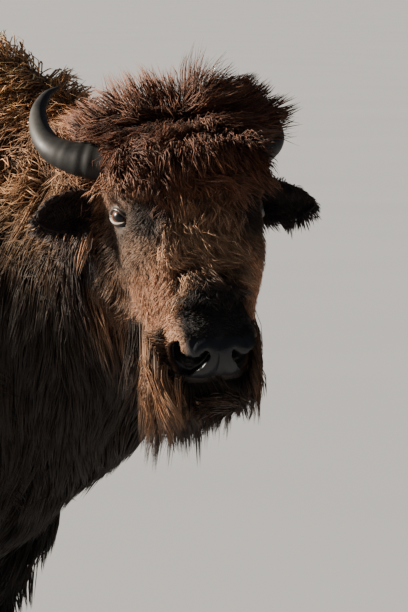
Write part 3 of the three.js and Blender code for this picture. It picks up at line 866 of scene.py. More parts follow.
def make_lids(side, surface, settings):
    """The lids of one eye: rings of points from the wet rim out over the eyeball to the face around it."""
    middle, gaze, along, upward = eye_axes(side)
    turns = np.linspace(0, 2 * math.pi, 64, endpoint=False)
    # The face's own surface is looked for from this far ahead of the eye.
    lookout = 0.08
    rows = []
    bare = []
    steps = [
        # Out from the rim, height over the eyeball, share of the face's own surface, and how bare.
        (-0.0010, 0.0002, 0.0, 1.0),
        (0.0000, 0.0010, 0.0, 1.0),
        (0.0010, 0.0022, 0.0, 1.0),
        (0.0026, 0.0030, 0.0, 1.0),
        (0.0048, 0.0031, 0.05, 0.9),
        (0.0070, 0.0022, 0.15, 0.6),
        (0.0092, 0.0034, 0.35, 0.3),
        (0.0120, 0.0030, 0.60, 0.0),
        (0.0150, 0.0020, 0.82, 0.0),
        (0.0185, 0.0000, 0.95, 0.0),
        (0.0230, 0.0000, 1.0, 0.0),
        (0.0290, 0.0000, 1.0, 0.0),
    ]
    for number, (beyond, high, faced, naked) in enumerate(steps):
        row = []
        for turn in turns:
            c, s = math.cos(turn), math.sin(turn)
            # The upper lid comes down towards the nose.
            tall = settings.opening_height * (0.86 - 0.30 * c if s > 0 else 0.90)
            # The lids meet in points, so the opening is an almond.
            rim = np.array([settings.opening_width * c, tall * s * abs(s) ** 0.25])
            place = rim + np.array([c, s * 0.9]) * beyond
            radius = settings.eye_radius + high
            rise = math.sqrt(max(radius**2 - place @ place, (radius * 0.35) ** 2))
            flat = middle + along * place[0] + upward * place[1]
            start = Vector(from_head(flat + gaze * lookout))
            hit = surface.ray_cast(start, Vector(turn_from_head(-gaze)), 0.15)[0]
            level = (lookout - (hit - start).length) if hit else rise
            # The last ring sinks into the face.
            if number == len(steps) - 1:
                level -= 0.005
            row.append(flat + gaze * (rise * (1 - faced) + level * faced))
        rows.append(row)
        bare.append([naked] * len(turns))
    piece = new_object("lids", grid_mesh("lids", from_head(np.array(rows)), closed=True))
    return piece, np.array(bare).ravel()


def make_ear(side):
    """One ear: a thin cupped leaf, open ahead."""
    steps = spine(EAR, 26)
    across = np.linspace(-1, 1, 21)
    rows = []
    for x, y, z, half, cup in steps:
        bow = np.abs(across) ** 2.2
        depth = x - cup * (1 - bow) + 0.006 * bow
        rows.append(np.stack([depth, np.full(len(across), side * y), z + half * across], 1))
    piece = new_object("ear", grid_mesh("ear", from_head(np.array(rows)), closed=False))
    apply_modifier(piece, "SOLIDIFY", thickness=0.0045, offset=0.0)
    apply_modifier(piece, "SUBSURF", levels=1, render_levels=1)
    face_outward(piece)
    return piece


class BISON_OT_skin(bpy.types.Operator):
    """Skins the flesh, shapes the face, and adds lids and ears"""

    bl_idname = "bison.skin"
    bl_label = "Skin"

    def execute(self, context):
        coat, colours, head = context.scene.bison_coat, context.scene.bison_colours, context.scene.bison_head
        skin = flesh_shape()
        mesh = skin.data
        soften(mesh, 10)
        depth = coat_depth(places(mesh), coat)
        for _ in range(4):
            set_places(mesh, places(mesh) - normals(mesh) * (depth / 4)[:, None])
            soften(mesh, 2)
        refine_head(skin)
        lean = muzzle_lean()
        bare, slit, mouth = shape_head(skin, head, lean)
        surface = tree_of(mesh)
        lids = [make_lids(side, surface, head) for side in SIDES.values()]
        points = to_head(places(mesh))
        sunk = np.zeros(len(points))
        for side in SIDES.values():
            middle, gaze, along, upward = eye_axes(side)
            offset = points - middle
            level = offset @ gaze
            reach = np.hypot(offset @ along, (offset @ upward) * 1.12)
            socket = ease(0.036, 0.024, reach) * (level > -0.01) * (np.sign(points[:, 1]) == side)
            points -= gaze * (socket * (0.004 + 0.026 * ease(0.030, 0.014, reach)))[:, None]
            sunk = np.maximum(sunk, socket)
        set_places(mesh, from_head(points))
        point_values(mesh, "bare", np.maximum(bare, sunk))
        point_values(mesh, "slit", slit)
        point_values(mesh, "mouth", mouth)
        for piece, naked in lids:
            point_values(piece.data, "bare", naked)
            point_values(piece.data, "slit", naked * 0)
            point_values(piece.data, "mouth", naked * 0)
        rims = [piece for piece, _ in lids]
        for piece in rims:
            face_outward(piece)
        turn_from_eyes(rims)
        ears = [make_ear(side) for side in SIDES.values()]
        join(skin, *rims, *ears)
        smooth_shade(skin)
        colour_skin(skin.data, colours)
        skin.data.materials.clear()
        skin.data.materials.append(hide_material())
        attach(skin, "root")
        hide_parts(*FLESH, "left_ear", "right_ear")
        return {"FINISHED"}


def turn_from_eyes(rims):
    """Turns a lid's faces over where they look at the eyeball."""
    for piece in rims:
        mesh = piece.data
        eye = LEFT_EYE if to_head(places(mesh))[:, 1].mean() > 0 else RIGHT_EYE
        away = places(mesh).mean(axis=0) - np.array(eye)
        if (normals(mesh) @ away).mean() < 0:
            mesh.flip_normals()


def colour_skin(mesh, colours):
    """Paints the skin with the coat's markings, with painted shade under deep hair, and its bare places."""
    points = places(mesh)
    tone = markings(points, colours)
    bare = read_values(mesh, "bare")
    slit = read_values(mesh, "slit")
    mouth = read_values(mesh, "mouth")
    # Painted shade: the skin of the forequarters is darkened under the deep hair.
    hair_shade = ease(0.02, 0.15, points[:, 0]) * ease(0.40, 0.55, points[:, 2])
    tone = tone * (1 - 0.45 * hair_shade)[:, None]
    head = to_head(points)
    near_eye = eye_gap(head)
    tone = paint(tone, colours.nose_skin, bare)
    rim = bare * ease(0.030, 0.027, near_eye)
    tone = paint(tone, colours.hollow_dark_and_shade, rim)
    for side in SIDES.values():
        middle, gaze, along, upward = eye_axes(side)
        offset = head - middle
        place = np.hypot(offset @ along, (offset @ upward) * 1.35)
        lower = (offset @ gaze > 0.006) & (near_eye < 0.0240) & (bare > 0.5)
        lower = lower * ease(-0.0035, -0.0075, offset @ upward)
        tone = paint(tone, colours.lid_pale, lower * ease(0.0174, 0.0162, place))
    # The nostrils' slits are painted black and the line of the mouth dark: their own dark skin, with painted
    # shade deep in them.
    nostril_shade_black = (0.003, 0.003, 0.003)
    mouth_dark_and_shade = to_linear("#2a1512")
    tone = paint(tone, nostril_shade_black, slit)
    tone = paint(tone, mouth_dark_and_shade, mouth * 0.9)
    point_colours(mesh, "coat_colour", tone)


def read_values(mesh, name):
    values = np.empty(len(mesh.vertices), dtype=np.float32)
    mesh.attributes[name].data.foreach_get("value", values)
    return values


# ---- Eyes, horns, hooves ----


class BISON_OT_eyes(bpy.types.Operator):
    """Makes the two eyeballs"""

    bl_idname = "bison.eyes"
    bl_label = "Eyes"

    def execute(self, context):
        settings = context.scene.bison_head
        wet = eye_material()
        for word, side in SIDES.items():
            middle, gaze, along, upward = eye_axes(side)
            bpy.ops.object.select_all(action="DESELECT")
            bpy.ops.mesh.primitive_uv_sphere_add(segments=64, ring_count=40, radius=settings.eye_radius)
            eye = bpy.context.object
            eye.name = f"{word}_eyeball"
            gaze, along, upward = (look_ahead(v, side) for v in (gaze, along, upward))
            local = places(eye.data)
            # The clear front of the eye stands a little proud of the ball.
            front = local[:, 2] / settings.eye_radius
            local *= (1 + 0.045 * ease(0.80, 1.0, front))[:, None]
            plan = local[:, :2] / settings.eye_radius
            head = middle + local[:, :1] * along + local[:, 1:2] * upward + local[:, 2:] * gaze
            set_places(eye.data, from_head(head))
            if np.dot(np.cross(along, upward), gaze) < 0:
                eye.data.flip_normals()
            layer = eye.data.uv_layers.new(name="iris")
            corner = np.empty(len(eye.data.loops), dtype=np.int32)
            eye.data.loops.foreach_get("vertex_index", corner)
            plan = np.where(local[:, 2:] > 0, plan, unit(plan) * 1.5)
            layer.data.foreach_set("uv", plan[corner].ravel())
            eye.data.uv_layers.active = layer
            smooth_shade(eye)
            eye.data.materials.append(wet)
            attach(eye, "root")
            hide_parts(f"{word}_eye")
        return {"FINISHED"}


class BISON_OT_horns(bpy.types.Operator):
    """Makes the two horns"""

    bl_idname = "bison.horns"
    bl_label = "Horns"

    def execute(self, context):
        keratin = horn_material()
        around, steps = 40, 90
        samples = np.linspace(0, 1, 400)
        path = spine(HORN, len(samples))
        slope = np.stack([np.gradient(path[:, i]) for i in range(3)], 1)
        for word, side in SIDES.items():
            bpy.ops.object.select_all(action="DESELECT")
            bpy.ops.mesh.primitive_grid_add(x_subdivisions=around, y_subdivisions=steps - 1, size=1)
            horn = bpy.context.object
            horn.name = f"{word}_curved_horn"
            flat = places(horn.data) + 0.5
            # The rows of faces come a little closer together towards the tip.
            share = flat[:, 1] ** 0.92
            place = np.stack([np.interp(share, samples, path[:, i]) for i in range(4)], 1)
            ahead = unit(np.stack([np.interp(share, samples, slope[:, i]) for i in range(3)], 1))
            first = unit(np.cross(ahead, np.array([0.6, 0.0, 0.8])))
            second = np.cross(ahead, first)
            angle = flat[:, :1] * 2 * math.pi
            # Growth rings swell the root; the wall is a little uneven.
            swell = 1 + 0.022 * np.sin(flat[:, 1] * 95) * ease(0.42, 0.10, flat[:, 1])
            swell += 0.018 * np.sin(angle[:, 0] * 2 + flat[:, 1] * 6)
            radius = (place[:, 3] * swell)[:, None]
            head = place[:, :3] + radius * (np.cos(angle) * first * 1.04 + np.sin(angle) * second * 0.96)
            head[:, 1] *= side
            set_places(horn.data, from_head(head))
            layer = horn.data.uv_layers.active or horn.data.uv_layers.new()
            layer.name = "grain"
            only(horn)
            bpy.ops.object.mode_set(mode="EDIT")
            bpy.ops.mesh.select_all(action="SELECT")
            bpy.ops.mesh.remove_doubles(threshold=0.00003)
            bpy.ops.mesh.select_all(action="DESELECT")
            bpy.ops.mesh.select_mode(type="EDGE")
            bpy.ops.mesh.select_non_manifold()
            bpy.ops.mesh.edge_face_add()
            bpy.ops.object.mode_set(mode="OBJECT")
            face_outward(horn)
            smooth_shade(horn)
            horn.data.materials.append(keratin)
            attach(horn, "root")
            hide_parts(f"{word}_horn")
        return {"FINISHED"}


class BISON_OT_hooves(bpy.types.Operator):
    """Rounds the four cloven hooves"""

    bl_idname = "bison.hooves"
    bl_label = "Hooves"

    def execute(self, context):
        horn_wall = hoof_material()
        for leg in ("fore_left", "fore_right", "hind_left", "hind_right"):
            hoof = node_copy(f"{leg}_hoof")
            hoof.name = f"{leg}_cloven_hoof"
            apply_modifier(hoof, "REMESH", mode="VOXEL", voxel_size=HOOF_VOXEL)
            soften(hoof.data, 6)
            points = places(hoof.data)
            # The sole lies flat on the floor.
            points[:, 2] = np.where(points[:, 2] < 0.003, 0.0, points[:, 2])
            set_places(hoof.data, points)
            smooth_shade(hoof)
            hoof.data.materials.append(horn_wall)
            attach(hoof, "root")
            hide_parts(f"{leg}_hoof")
        return {"FINISHED"}


# ---- The coat ----


class Hide:
    """The finished skin, as the coat needs it: where tufts can root, and what lies nearest to a place."""

    def __init__(self, skin):
        mesh = skin.data
        self.corners = triangles_of(mesh)
        self.points = places(mesh)
        self.normals = normals(mesh)
        self.tree = BVHTree.FromPolygons(self.points.tolist(), self.corners.tolist())
        a, b, c = (self.points[self.corners[:, i]] for i in range(3))
        self.areas = np.linalg.norm(np.cross(b - a, c - a), axis=1) / 2
        self.middles = (a + b + c) / 3
        self.facing = unit(np.cross(b - a, c - a))
        self.naked = read_values(mesh, "bare")[self.corners].max(axis=1)
        self.unwrap(skin)

    def unwrap(self, skin):
        """Unwraps a coarse copy of the skin, on which each tuft finds its patch."""
        coarse = skin.copy()
        coarse.data = skin.data.copy()
        bpy.context.collection.objects.link(coarse)
        apply_modifier(coarse, "DECIMATE", ratio=0.06)
        bpy.ops.object.mode_set(mode="EDIT")
        bpy.ops.mesh.select_all(action="SELECT")
        bpy.ops.uv.smart_project(angle_limit=math.radians(70), island_margin=0.004)
        bpy.ops.object.mode_set(mode="OBJECT")
        mesh = coarse.data
        uv = np.empty(len(mesh.loops) * 2)
        mesh.uv_layers.active.data.foreach_get("uv", uv)
        self.map_points = places(mesh)
        self.map_corners = triangles_of(mesh)
        self.map_uv = uv.reshape(-1, 2)[triangles_of(mesh, "loops")]
        self.map_tree = BVHTree.FromPolygons(self.map_points.tolist(), self.map_corners.tolist())
        bpy.data.objects.remove(coarse)

    def patch_of(self, roots):
        """The place of each root on the unwrap."""
        found = [self.map_tree.find_nearest(p) for p in roots.tolist()]
        index = np.array([f[2] for f in found])
        where = np.array([f[0] for f in found])
        a, b, c = (self.map_points[self.map_corners[index, i]] for i in range(3))
        v0, v1, v2 = b - a, c - a, where - a
        d00, d01, d11 = (v0 * v0).sum(1), (v0 * v1).sum(1), (v1 * v1).sum(1)
        d20, d21 = (v2 * v0).sum(1), (v2 * v1).sum(1)
        scale = np.maximum(d00 * d11 - d01 * d01, 1e-18)
        second = np.clip((d11 * d20 - d01 * d21) / scale, 0, 1)
        third = np.clip((d00 * d21 - d01 * d20) / scale, 0, 1)
        first = np.clip(1 - second - third, 0, 1)
        total = (first + second + third)[:, None]
        uv = self.map_uv[index]
        return (uv[:, 0] * first[:, None] + uv[:, 1] * second[:, None] + uv[:, 2] * third[:, None]) / total

    def roots(self, count, chance, rng):
        """Random places on the skin, more of them where `chance` is high."""
        weight = self.areas * chance(self.middles, self.facing) * (self.naked < 0.3)
        picks = rng.choice(len(weight), size=count, p=weight / weight.sum())
        a, b = rng.random((2, count, 1))
        fold = a + b > 1
        a, b = np.where(fold, 1 - a, a), np.where(fold, 1 - b, b)
        corner = self.corners[picks]
        points = self.points[corner[:, 0]] * (1 - a - b) + self.points[corner[:, 1]] * a
        points += self.points[corner[:, 2]] * b
        facing = self.normals[corner[:, 0]] * (1 - a - b) + self.normals[corner[:, 1]] * a
        facing += self.normals[corner[:, 2]] * b
        return points, unit(facing)

    def foot(self, points):
        """The nearest place on the skin to each point, and the skin's direction there."""
        found = [self.tree.find_nearest(p) for p in points.tolist()]
        return np.array([f[0] for f in found]), np.array([f[1] for f in found])


class BISON_OT_measure_hide(bpy.types.Operator):
    """Reads the finished skin, so that the coat can root on it"""

    bl_idname = "bison.measure_hide"
    bl_label = "Read the skin"

    def execute(self, context):
        Hide.current = Hide(bpy.data.objects["skin"])
        return {"FINISHED"}


def comb(hide, roots, facing, flow, length, rise, steps, curve, wave, rng):
    """Paths of tufts that rise from their roots and lie along the skin. `flow` gives the lie of the coat, a
    smaller `curve` rises sooner, and `wave` is how far each step strays to the side."""
    count = len(roots)
    path = np.empty((count, steps + 1, 3))
    path[:, 0] = roots - facing * 0.002
    foot, normal = roots.copy(), facing.copy()
    for k in range(1, steps + 1):
        way = flow(foot)
        way = unit(way - normal * (way * normal).sum(1, keepdims=True))
        way = unit(way + unit(np.cross(way, normal)) * rng.normal(0, wave, (count, 1)))
        foot, new_normal = hide.foot(foot + way * (length / steps)[:, None])
        normal = unit(normal * 0.4 + new_normal * 0.6)
        path[:, k] = foot + normal * (rise * (k / steps) ** curve)[:, None]
    return path


def spray(roots, start, end, length, steps):
    """Paths of tufts that leave their roots one way and bend over to another."""
    t = np.linspace(0, 1, steps + 1)[None, :, None]
    reach = length[:, None, None]
    bend = start[:, None, :] * (t - t**2 / 2) + end[:, None, :] * (t**2 / 2)
    return roots[:, None, :] + bend * reach * 1.15


def curl(path, amount, turns, rng):
    """Winds each tuft a little about its own path."""
    count, points, _ = path.shape
    along = unit(path[:, -1] - path[:, 0])
    first = unit(np.cross(along, unit(rng.normal(size=(count, 3)))))
    second = np.cross(along, first)
    turn = 2 * math.pi * turns * rng.choice([-1, 1], count)
    for k in range(1, points):
        t = k / (points - 1)
        swing = (first * np.cos(turn * t)[:, None] + second * np.sin(turn * t)[:, None]) - first
        path[:, k] += swing * (amount * t**0.5)[:, None]
    return path


def keep_within(path, hull, slack):
    """Shortens the tufts that start inside a closed shape so that they end at its surface, times `slack`."""
    for tuft, spare in zip(path, slack):
        root, tip = Vector(tuft[0]), Vector(tuft[-1])
        near, outward = hull.find_nearest(root)[:2]
        if near is None or (root - near).dot(outward) > 0:
            continue
        reach = (tip - root).length
        way = (tip - root) / reach
        hit = hull.ray_cast(root, way, reach)[0]
        if hit:
            tuft[:] = tuft[:1] + (tuft - tuft[:1]) * ((hit - root).length / reach * spare)
    return path


def clump(path, rng, size, pull):
    """Draws the ends of neighbouring tufts together into locks, `size` tufts to a lock. Gives the new paths
    and the number of each one's leader."""
    count = len(path)
    leaders = rng.choice(count, max(count // size, 1), replace=False)
    tree = KDTree(len(leaders))
    for i, leader in enumerate(leaders):
        tree.insert(path[leader, 0], i)
    tree.balance()
    nearest = np.array([tree.find(p)[1] for p in path[:, 0].tolist()])
    lead = path[leaders[nearest]]
    strength = (np.linspace(0, 1, path.shape[1]) ** 1.3)[None, :, None] * pull
    shift = lead - lead[:, :1] - (path - path[:, :1])
    gap = (path[:, :1] - lead[:, :1]) * 0.75
    return path + (shift - gap) * strength, leaders[nearest]


def tuft_mesh(name, path, outward, width, colours, patches):
    """Joined tufts: each a three-sided blade, half as thick as it is wide, that swells from its root and then
    tapers along its path to a point."""
    count, points, _ = path.shape
    rings = points - 1
    ahead = np.empty((count, rings, 3))
    ahead[:, 0] = path[:, 1] - path[:, 0]
    ahead[:, 1:] = path[:, 2:] - path[:, :-2]
    ahead = unit(ahead)
    across = unit(np.cross(ahead, outward[:, None, :]))
    upward = np.cross(across, ahead)
    taper = np.linspace(0, 1, points)[:-1]
    shape = (0.55 + 1.1 * taper - 1.25 * taper**2)[None, :, None]
    half = width[:, None, None] * shape
    # A blade's three edges: shares of its width across it, and of its thickness up from its path.
    corners = np.array([(-0.5, -0.3), (0.5, -0.3), (0.0, 0.7)])
    thick = 0.5
    ring = [path[:, :-1] + across * half * cx + upward * half * cy * thick for cx, cy in corners]
    body = np.stack(ring, 2).reshape(count, rings * 3, 3)
    verts = np.concatenate([body, path[:, -1:]], 1)
    each = rings * 3 + 1
    quads = np.array(
        [
            (3 * k + c, 3 * (k + 1) + c, 3 * (k + 1) + (c + 1) % 3, 3 * k + (c + 1) % 3)
            for k in range(rings - 1)
            for c in range(3)
        ],
        dtype=np.int32,
    ).reshape(-1, 4)
    last = 3 * (rings - 1)
    tip_faces = [(last + c, each - 1, last + (c + 1) % 3) for c in range(3)]
    tris = np.array([(0, 1, 2), *tip_faces], dtype=np.int32)
    offset = (np.arange(count, dtype=np.int32) * each)[:, None]
    loops = np.concatenate([(quads.ravel() + offset), (tris.ravel() + offset)], 1).ravel()
    sizes = np.tile(np.array([4] * len(quads) + [3] * len(tris), dtype=np.int32), count)
    mesh = bpy.data.meshes.new(name)
    mesh.vertices.add(count * each)
    mesh.vertices.foreach_set("co", verts.ravel())
    mesh.loops.add(len(loops))
    mesh.loops.foreach_set("vertex_index", loops)
    mesh.polygons.add(len(sizes))
    mesh.polygons.foreach_set("loop_start", np.concatenate([[0], np.cumsum(sizes)[:-1]]).astype(np.int32))
    mesh.polygons.foreach_set("use_smooth", np.ones(len(sizes), dtype=bool))
    mesh.update(calc_edges=True)
    tone = np.concatenate([np.repeat(colours[:, :-1], 3, axis=1), colours[:, -1:]], 1)
    point_colours(mesh, "coat_colour", tone.reshape(-1, 3))
    # Each tuft has its patch at its root's place on the unwrap.
    blade = [(c * PATCH / 2, k / rings * PATCH) for k in range(rings) for c in range(3)]
    inside = np.array([*blade, (PATCH / 2, PATCH)])
    uv = (patches[:, None, :] + inside[None]).reshape(-1, 2)
    layer = mesh.uv_layers.new(name="OFBake")
    layer.data.foreach_set("uv", uv[loops].ravel())
    return mesh


def grow(
    context, name, path, outward, width, material,
    tone=None, shade=1.0, root=0.5, tip=1.25, uneven=0.22, replaces=(),
):
    """Turns paths into a coat piece. Its colour is `tone`, or else the markings at each root, times `shade`:
    `root` times as light at the roots, partly the hair's darker base and partly painted shade deep in the
    coat,
    `tip` times at the tips, and `uneven` from tuft to tuft."""
    coat, colours = context.scene.bison_coat, context.scene.bison_colours
    rng = np.random.default_rng(coat.seed + len(path))
    roots = path[:, 0]
    base = markings(roots, colours) if tone is None else tone
    vary = np.exp(rng.normal(0, uneven, (len(path), 1, 1)))
    tip = np.broadcast_to(tip, len(path)).reshape(-1, 1, 1)
    along = np.linspace(0, 1, path.shape[1])[None, :, None]
    # Tufts darken towards their roots: partly the hair's darker base, partly painted shade deep in the coat.
    light = base[:, None, :] * vary * shade * (root + (tip - root) * along**0.8)
    warm = rng.normal(0, 0.06, (len(path), 1, 1)) * np.array([1.0, 0.0, -1.0])
    light = np.clip(light * (1 + warm), 0.0005, 0.9)
    mesh = tuft_mesh(name, path, outward, width, light, Hide.current.patch_of(roots))
    piece = new_object(name, mesh)
    mesh.materials.append(material)
    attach(piece, "root")
    if replaces:
        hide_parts(*replaces)
    return piece


def head_parts(points):
    """Ahead, aside and above in the head's frame, then down the face and out of it."""
    head = to_head(points)
    return head[:, 0], head[:, 1], head[:, 2], head @ DOWN_FACE, head @ OUT_OF_FACE


def wandering(flow, size, amount, seed):
    """A lie of the coat that strays from the given one over about `size` metres."""
    return lambda points: unit(flow(points)) + drift(points, size, seed) * amount


def horn_gap(points):
    """How far points of the head's frame are outside the horns, and whether they are ahead of a bare part."""
    path = spine(HORN, 24)
    mirrored = points.copy()
    mirrored[:, 1] = np.abs(mirrored[:, 1])
    offset = mirrored[:, None, :] - path[None, :, :3]
    gap = np.linalg.norm(offset, axis=2) - path[None, :, 3]
    flat = np.linalg.norm(offset[:, :, 1:], axis=2) - path[None, :, 3]
    # The hair hides the upper half of the left horn, but none of the right one past its root.
    bare_part = (points[:, 1] < 0) | (points[:, 2] < 0.112)
    ahead = (flat < 0.002) & (offset[:, :, 0] > 0)
    over = ahead.any(axis=1) & (mirrored[:, 1] > 0.146) & bare_part
    return gap.min(axis=1), over


def clear_of_horns(path):
    """Which tufts neither cross a horn nor hang in front of its bare part."""
    flat = to_head(path.reshape(-1, 3))
    gap, over = horn_gap(flat)
    bad = (gap < 0.001) | over
    return ~bad.reshape(path.shape[:2])[:, 1:].any(axis=1)


def clear_of_eyes(path):
    """Which tufts stay off the open eyes, seen square on or from ahead."""
    head = to_head(path.reshape(-1, 3))
    bad = np.zeros(len(head), dtype=bool)
    for side in SIDES.values():
        middle, gaze, along, upward = eye_axes(side)
        offset = head - middle
        reach = np.hypot(offset @ along / 0.0205, offset @ upward / 0.0150)
        bad |= (reach < 1) & (offset @ gaze > 0)
        # From ahead the opening looks narrower.
        sight = unit(np.array([0.97, side * 0.23, 0.06]))
        across = unit(np.cross(sight, upward))
        offset = head - (middle + gaze * 0.019)
        reach = np.hypot(offset @ across / 0.0150, offset @ np.cross(across, sight) / 0.0140)
        bad |= (reach < 1) & (offset @ sight > -0.004)
    return ~bad.reshape(path.shape[:2]).any(axis=1)


def shorten(path, clear):
    """Shortens the tufts that are in the way, and tells which are clear in the end."""
    for _ in range(4):
        bad = ~clear(path)
        path[bad] = path[bad, :1] + (path[bad] - path[bad, :1]) * 0.66
    return clear(path)


class BISON_OT_mop(bpy.types.Operator):
    """Grows the mop over the crown and the shaggy hair down the forehead"""

    bl_idname = "bison.mop"
    bl_label = "Mop and forehead"

    def execute(self, context):
        coat = context.scene.bison_coat
        hide = Hide.current
        rng = np.random.default_rng(coat.seed)
        shaggy = hair_material("shaggy_mop_hair", roughness=0.62, streak_mm=2.0)

        def on_crown(points, facing):
            x, y, z = to_head(points).T
            crown = ease(0.035, 0.075, z) * ease(-0.24, -0.2, x) * ease(0.2, 0.16, np.abs(y))
            return crown * (0.45 + 0.55 * ease(-0.17, -0.12, x))

        roots, facing = hide.roots(TUFTS["mop"], on_crown, rng)
        x, y, z = to_head(roots).T
        count = len(roots)
        away = unit(np.stack([x + 0.105, y * 1.25, 0 * x], 1) + rng.normal(0, 0.02, (count, 3)))
        # Behind the whorl the hair stands up; ahead it falls over the brow, and at the sides over the horns.
        high = ease(0.125, 0.165, z)
        standing = high * ease(-0.075, -0.105, x) * ease(0.10, 0.05, np.abs(y + 0.015))
        sideways = ease(0.06, 0.13, np.abs(y)) * ease(0.075, 0.115, z)
        drop = -1.15 + 0.55 * high + 1.05 * sideways + 2.0 * standing
        fall = np.stack([0 * x, 0 * x, drop], 1)
        stray = drift(roots, size=0.04, seed=3)
        end = unit(turn_from_head(away * (1 - 0.6 * standing)[:, None] + fall) + stray * 0.40)
        begin = unit(facing + turn_from_head(away) * 0.35 + stray * 0.3 + rng.normal(0, 0.26, (count, 3)))
        length = coat.mop_length * rng.uniform(0.55, 1.1, count) * (1 - 0.25 * high * (1 - standing))
        length *= 1 - 0.30 * ease(0.0, -1.0, drop)
        path = spray(roots - facing * 0.002, begin, end, length, 3)
        path = curl(path, 0.008 * rng.random(count), turns=1.0, rng=rng)
        path, _ = clump(path, rng, size=10, pull=0.6)
        slack = rng.uniform(0.75, 1.08, count) + 0.12 * standing
        path = keep_within(path, tree_of(node_mesh("crown")), slack)
        keep = shorten(path, clear_of_horns)
        path, facing, standing = path[keep], facing[keep], standing[keep]
        width = rng.uniform(0.0018, 0.0034, len(path)) * (1 - 0.35 * standing)
        tip = 1.8 + 0.9 * standing
        grow(
            context, "mop_of_hair", path, facing, width, shaggy,
            tip=tip, uneven=0.3, replaces=("crown",),
        )

        def on_forehead(points, facing):
            _, y, z, down, out = head_parts(points)
            wide = 0.056 + 0.044 * ease(-0.01, -0.06, down) - 0.014 * ease(0.06, 0.17, down)
            sides = ease(wide + 0.012, wide - 0.012, np.abs(y + 0.006))
            return sides * ease(0.190, 0.155, down) * ease(0.12, 0.07, z) * (out > 0.02)

        def forehead_flow(points):
            x, y, _ = to_head(points).T
            way = np.stack([0.55 + 0 * x, y * 3, np.full(len(x), -1.0)], 1)
            return turn_from_head(way)

        roots, facing = hide.roots(TUFTS["forehead"], on_forehead, rng)
        _, y, _, down, _ = head_parts(roots)
        layer = rng.beta(2.0, 1.3, len(roots))
        shorter = 1 - 0.25 * ease(0.05, 0.18, down)
        ridge = (0.55 + 0.45 * ease(0.050, 0.015, np.abs(y))) * (1 + 0.35 * ease(0.03, -0.06, down))
        rise = 0.046 * (0.25 + 0.75 * layer) * shorter * ridge
        length = 0.062 * rng.uniform(0.6, 1.2, len(roots)) * shorter
        loose = rng.random(len(roots)) < 0.14
        rise = np.where(loose, rise * 1.5, rise)
        flow = wandering(forehead_flow, size=0.04, amount=0.32, seed=15)
        path = comb(hide, roots, facing, flow, length, rise, steps=3, curve=0.7, wave=0.4, rng=rng)
        path = curl(path, 0.006 * rng.random(len(path)), turns=1.0, rng=rng)
        path, _ = clump(path, rng, size=13, pull=0.75)
        keep = shorten(path, clear_of_eyes)
        path, facing, loose = path[keep], facing[keep], loose[keep]
        width = rng.uniform(0.0014, 0.0026, len(path))
        tip = 2.3 + 0.5 * loose
        grow(
            context, "forehead_hair", path, facing, width, shaggy, shade=0.95, tip=tip, uneven=0.5
        )
        return {"FINISHED"}


class BISON_OT_face_coat(bpy.types.Operator):
    """Grows the short coat of the cheeks, brows and muzzle"""

    bl_idname = "bison.face_coat"
    bl_label = "Face"

    def execute(self, context):
        coat = context.scene.bison_coat
        hide = Hide.current
        rng = np.random.default_rng(coat.seed + 1)
        short = hair_material("short_face_fur", roughness=0.7, streak_mm=2.0)

        def on_face(points, facing):
            x, y, z, down, out = head_parts(points)
            ahead = ease(-0.15, -0.10, x) * ease(0.115, 0.085, z) * ease(0.20, 0.16, np.abs(y)) * (z > -0.36)
            middle = ease(0.055, 0.035, np.abs(y)) * ease(0.16, 0.12, down) * (out > 0.02)
            muzzle = 1 + 0.9 * ease(0.15, 0.22, down)
            chin = ease(0.270, 0.285, down) * ease(0.048, 0.036, out)
            return ahead * (1 - middle) * muzzle * (1 - chin)

        def face_flow(points):
            x, y, _, down, out = head_parts(points)
            side = np.sign(y)
            front = ease(0.085, 0.04, np.abs(y))
            way = np.stack([-0.30 + 0.70 * front, side * (0.02 + 0.40 * front), -0.85 + 0.1 * front], 1)
            nose = (ease(0.19, 0.24, down) * ease(0.0, 0.03, out))[:, None]
            sideways = np.stack([-0.55 + 0 * x, side * 0.8, -0.45 + 0 * x], 1)
            chin = (ease(0.265, 0.285, down) * ease(0.025, 0.005, out))[:, None]
            way = way * (1 - nose) + sideways * nose
            return turn_from_head(way * (1 - chin) + np.array([0.1, 0, -1.0]) * chin)

        roots, facing = hide.roots(TUFTS["face"], on_face, rng)
        x, y, z, down, out = head_parts(roots)
        jaw = ease(-0.02, -0.09, x) * ease(0.02, -0.05, z)
        nose = ease(0.17, 0.25, down) * ease(-0.01, 0.02, out)
        small = ease(0.030, 0.065, eye_gap(to_head(roots)))
        edge = ease(0.03, -0.03, out) * ease(-0.08, -0.14, z)
        lip = ease(0.20, 0.25, down) * ease(0.05, 0.03, out) * ease(0.04, 0.06, np.abs(y))
        size = (1 + 0.7 * jaw + 1.3 * edge + 1.2 * lip) * (1 - 0.62 * nose) * (0.4 + 0.6 * small)
        length = coat.face_length * rng.uniform(0.7, 1.3, len(roots)) * size
        fluffy = 1 + 0.5 * jaw + 1.2 * edge
        rise = 0.0100 * rng.uniform(0.35, 1.0, len(roots)) * fluffy * (1 - 0.7 * nose) * (0.35 + 0.65 * small)
        flow = wandering(face_flow, size=0.05, amount=0.3, seed=6)
        path = comb(hide, roots, facing, flow, length, rise, steps=2, curve=0.8, wave=0.22, rng=rng)
        path, _ = clump(path, rng, size=5, pull=0.35)
        keep = shorten(path, clear_of_eyes) & clear_of_horns(path)
        path, facing = path[keep], facing[keep]
        width = rng.uniform(0.0013, 0.0023, len(path)) * (1 - 0.35 * nose[keep]) * (0.65 + 0.35 * small[keep])
        grow(context, "face_fur", path, facing, width, short)
        return {"FINISHED"}


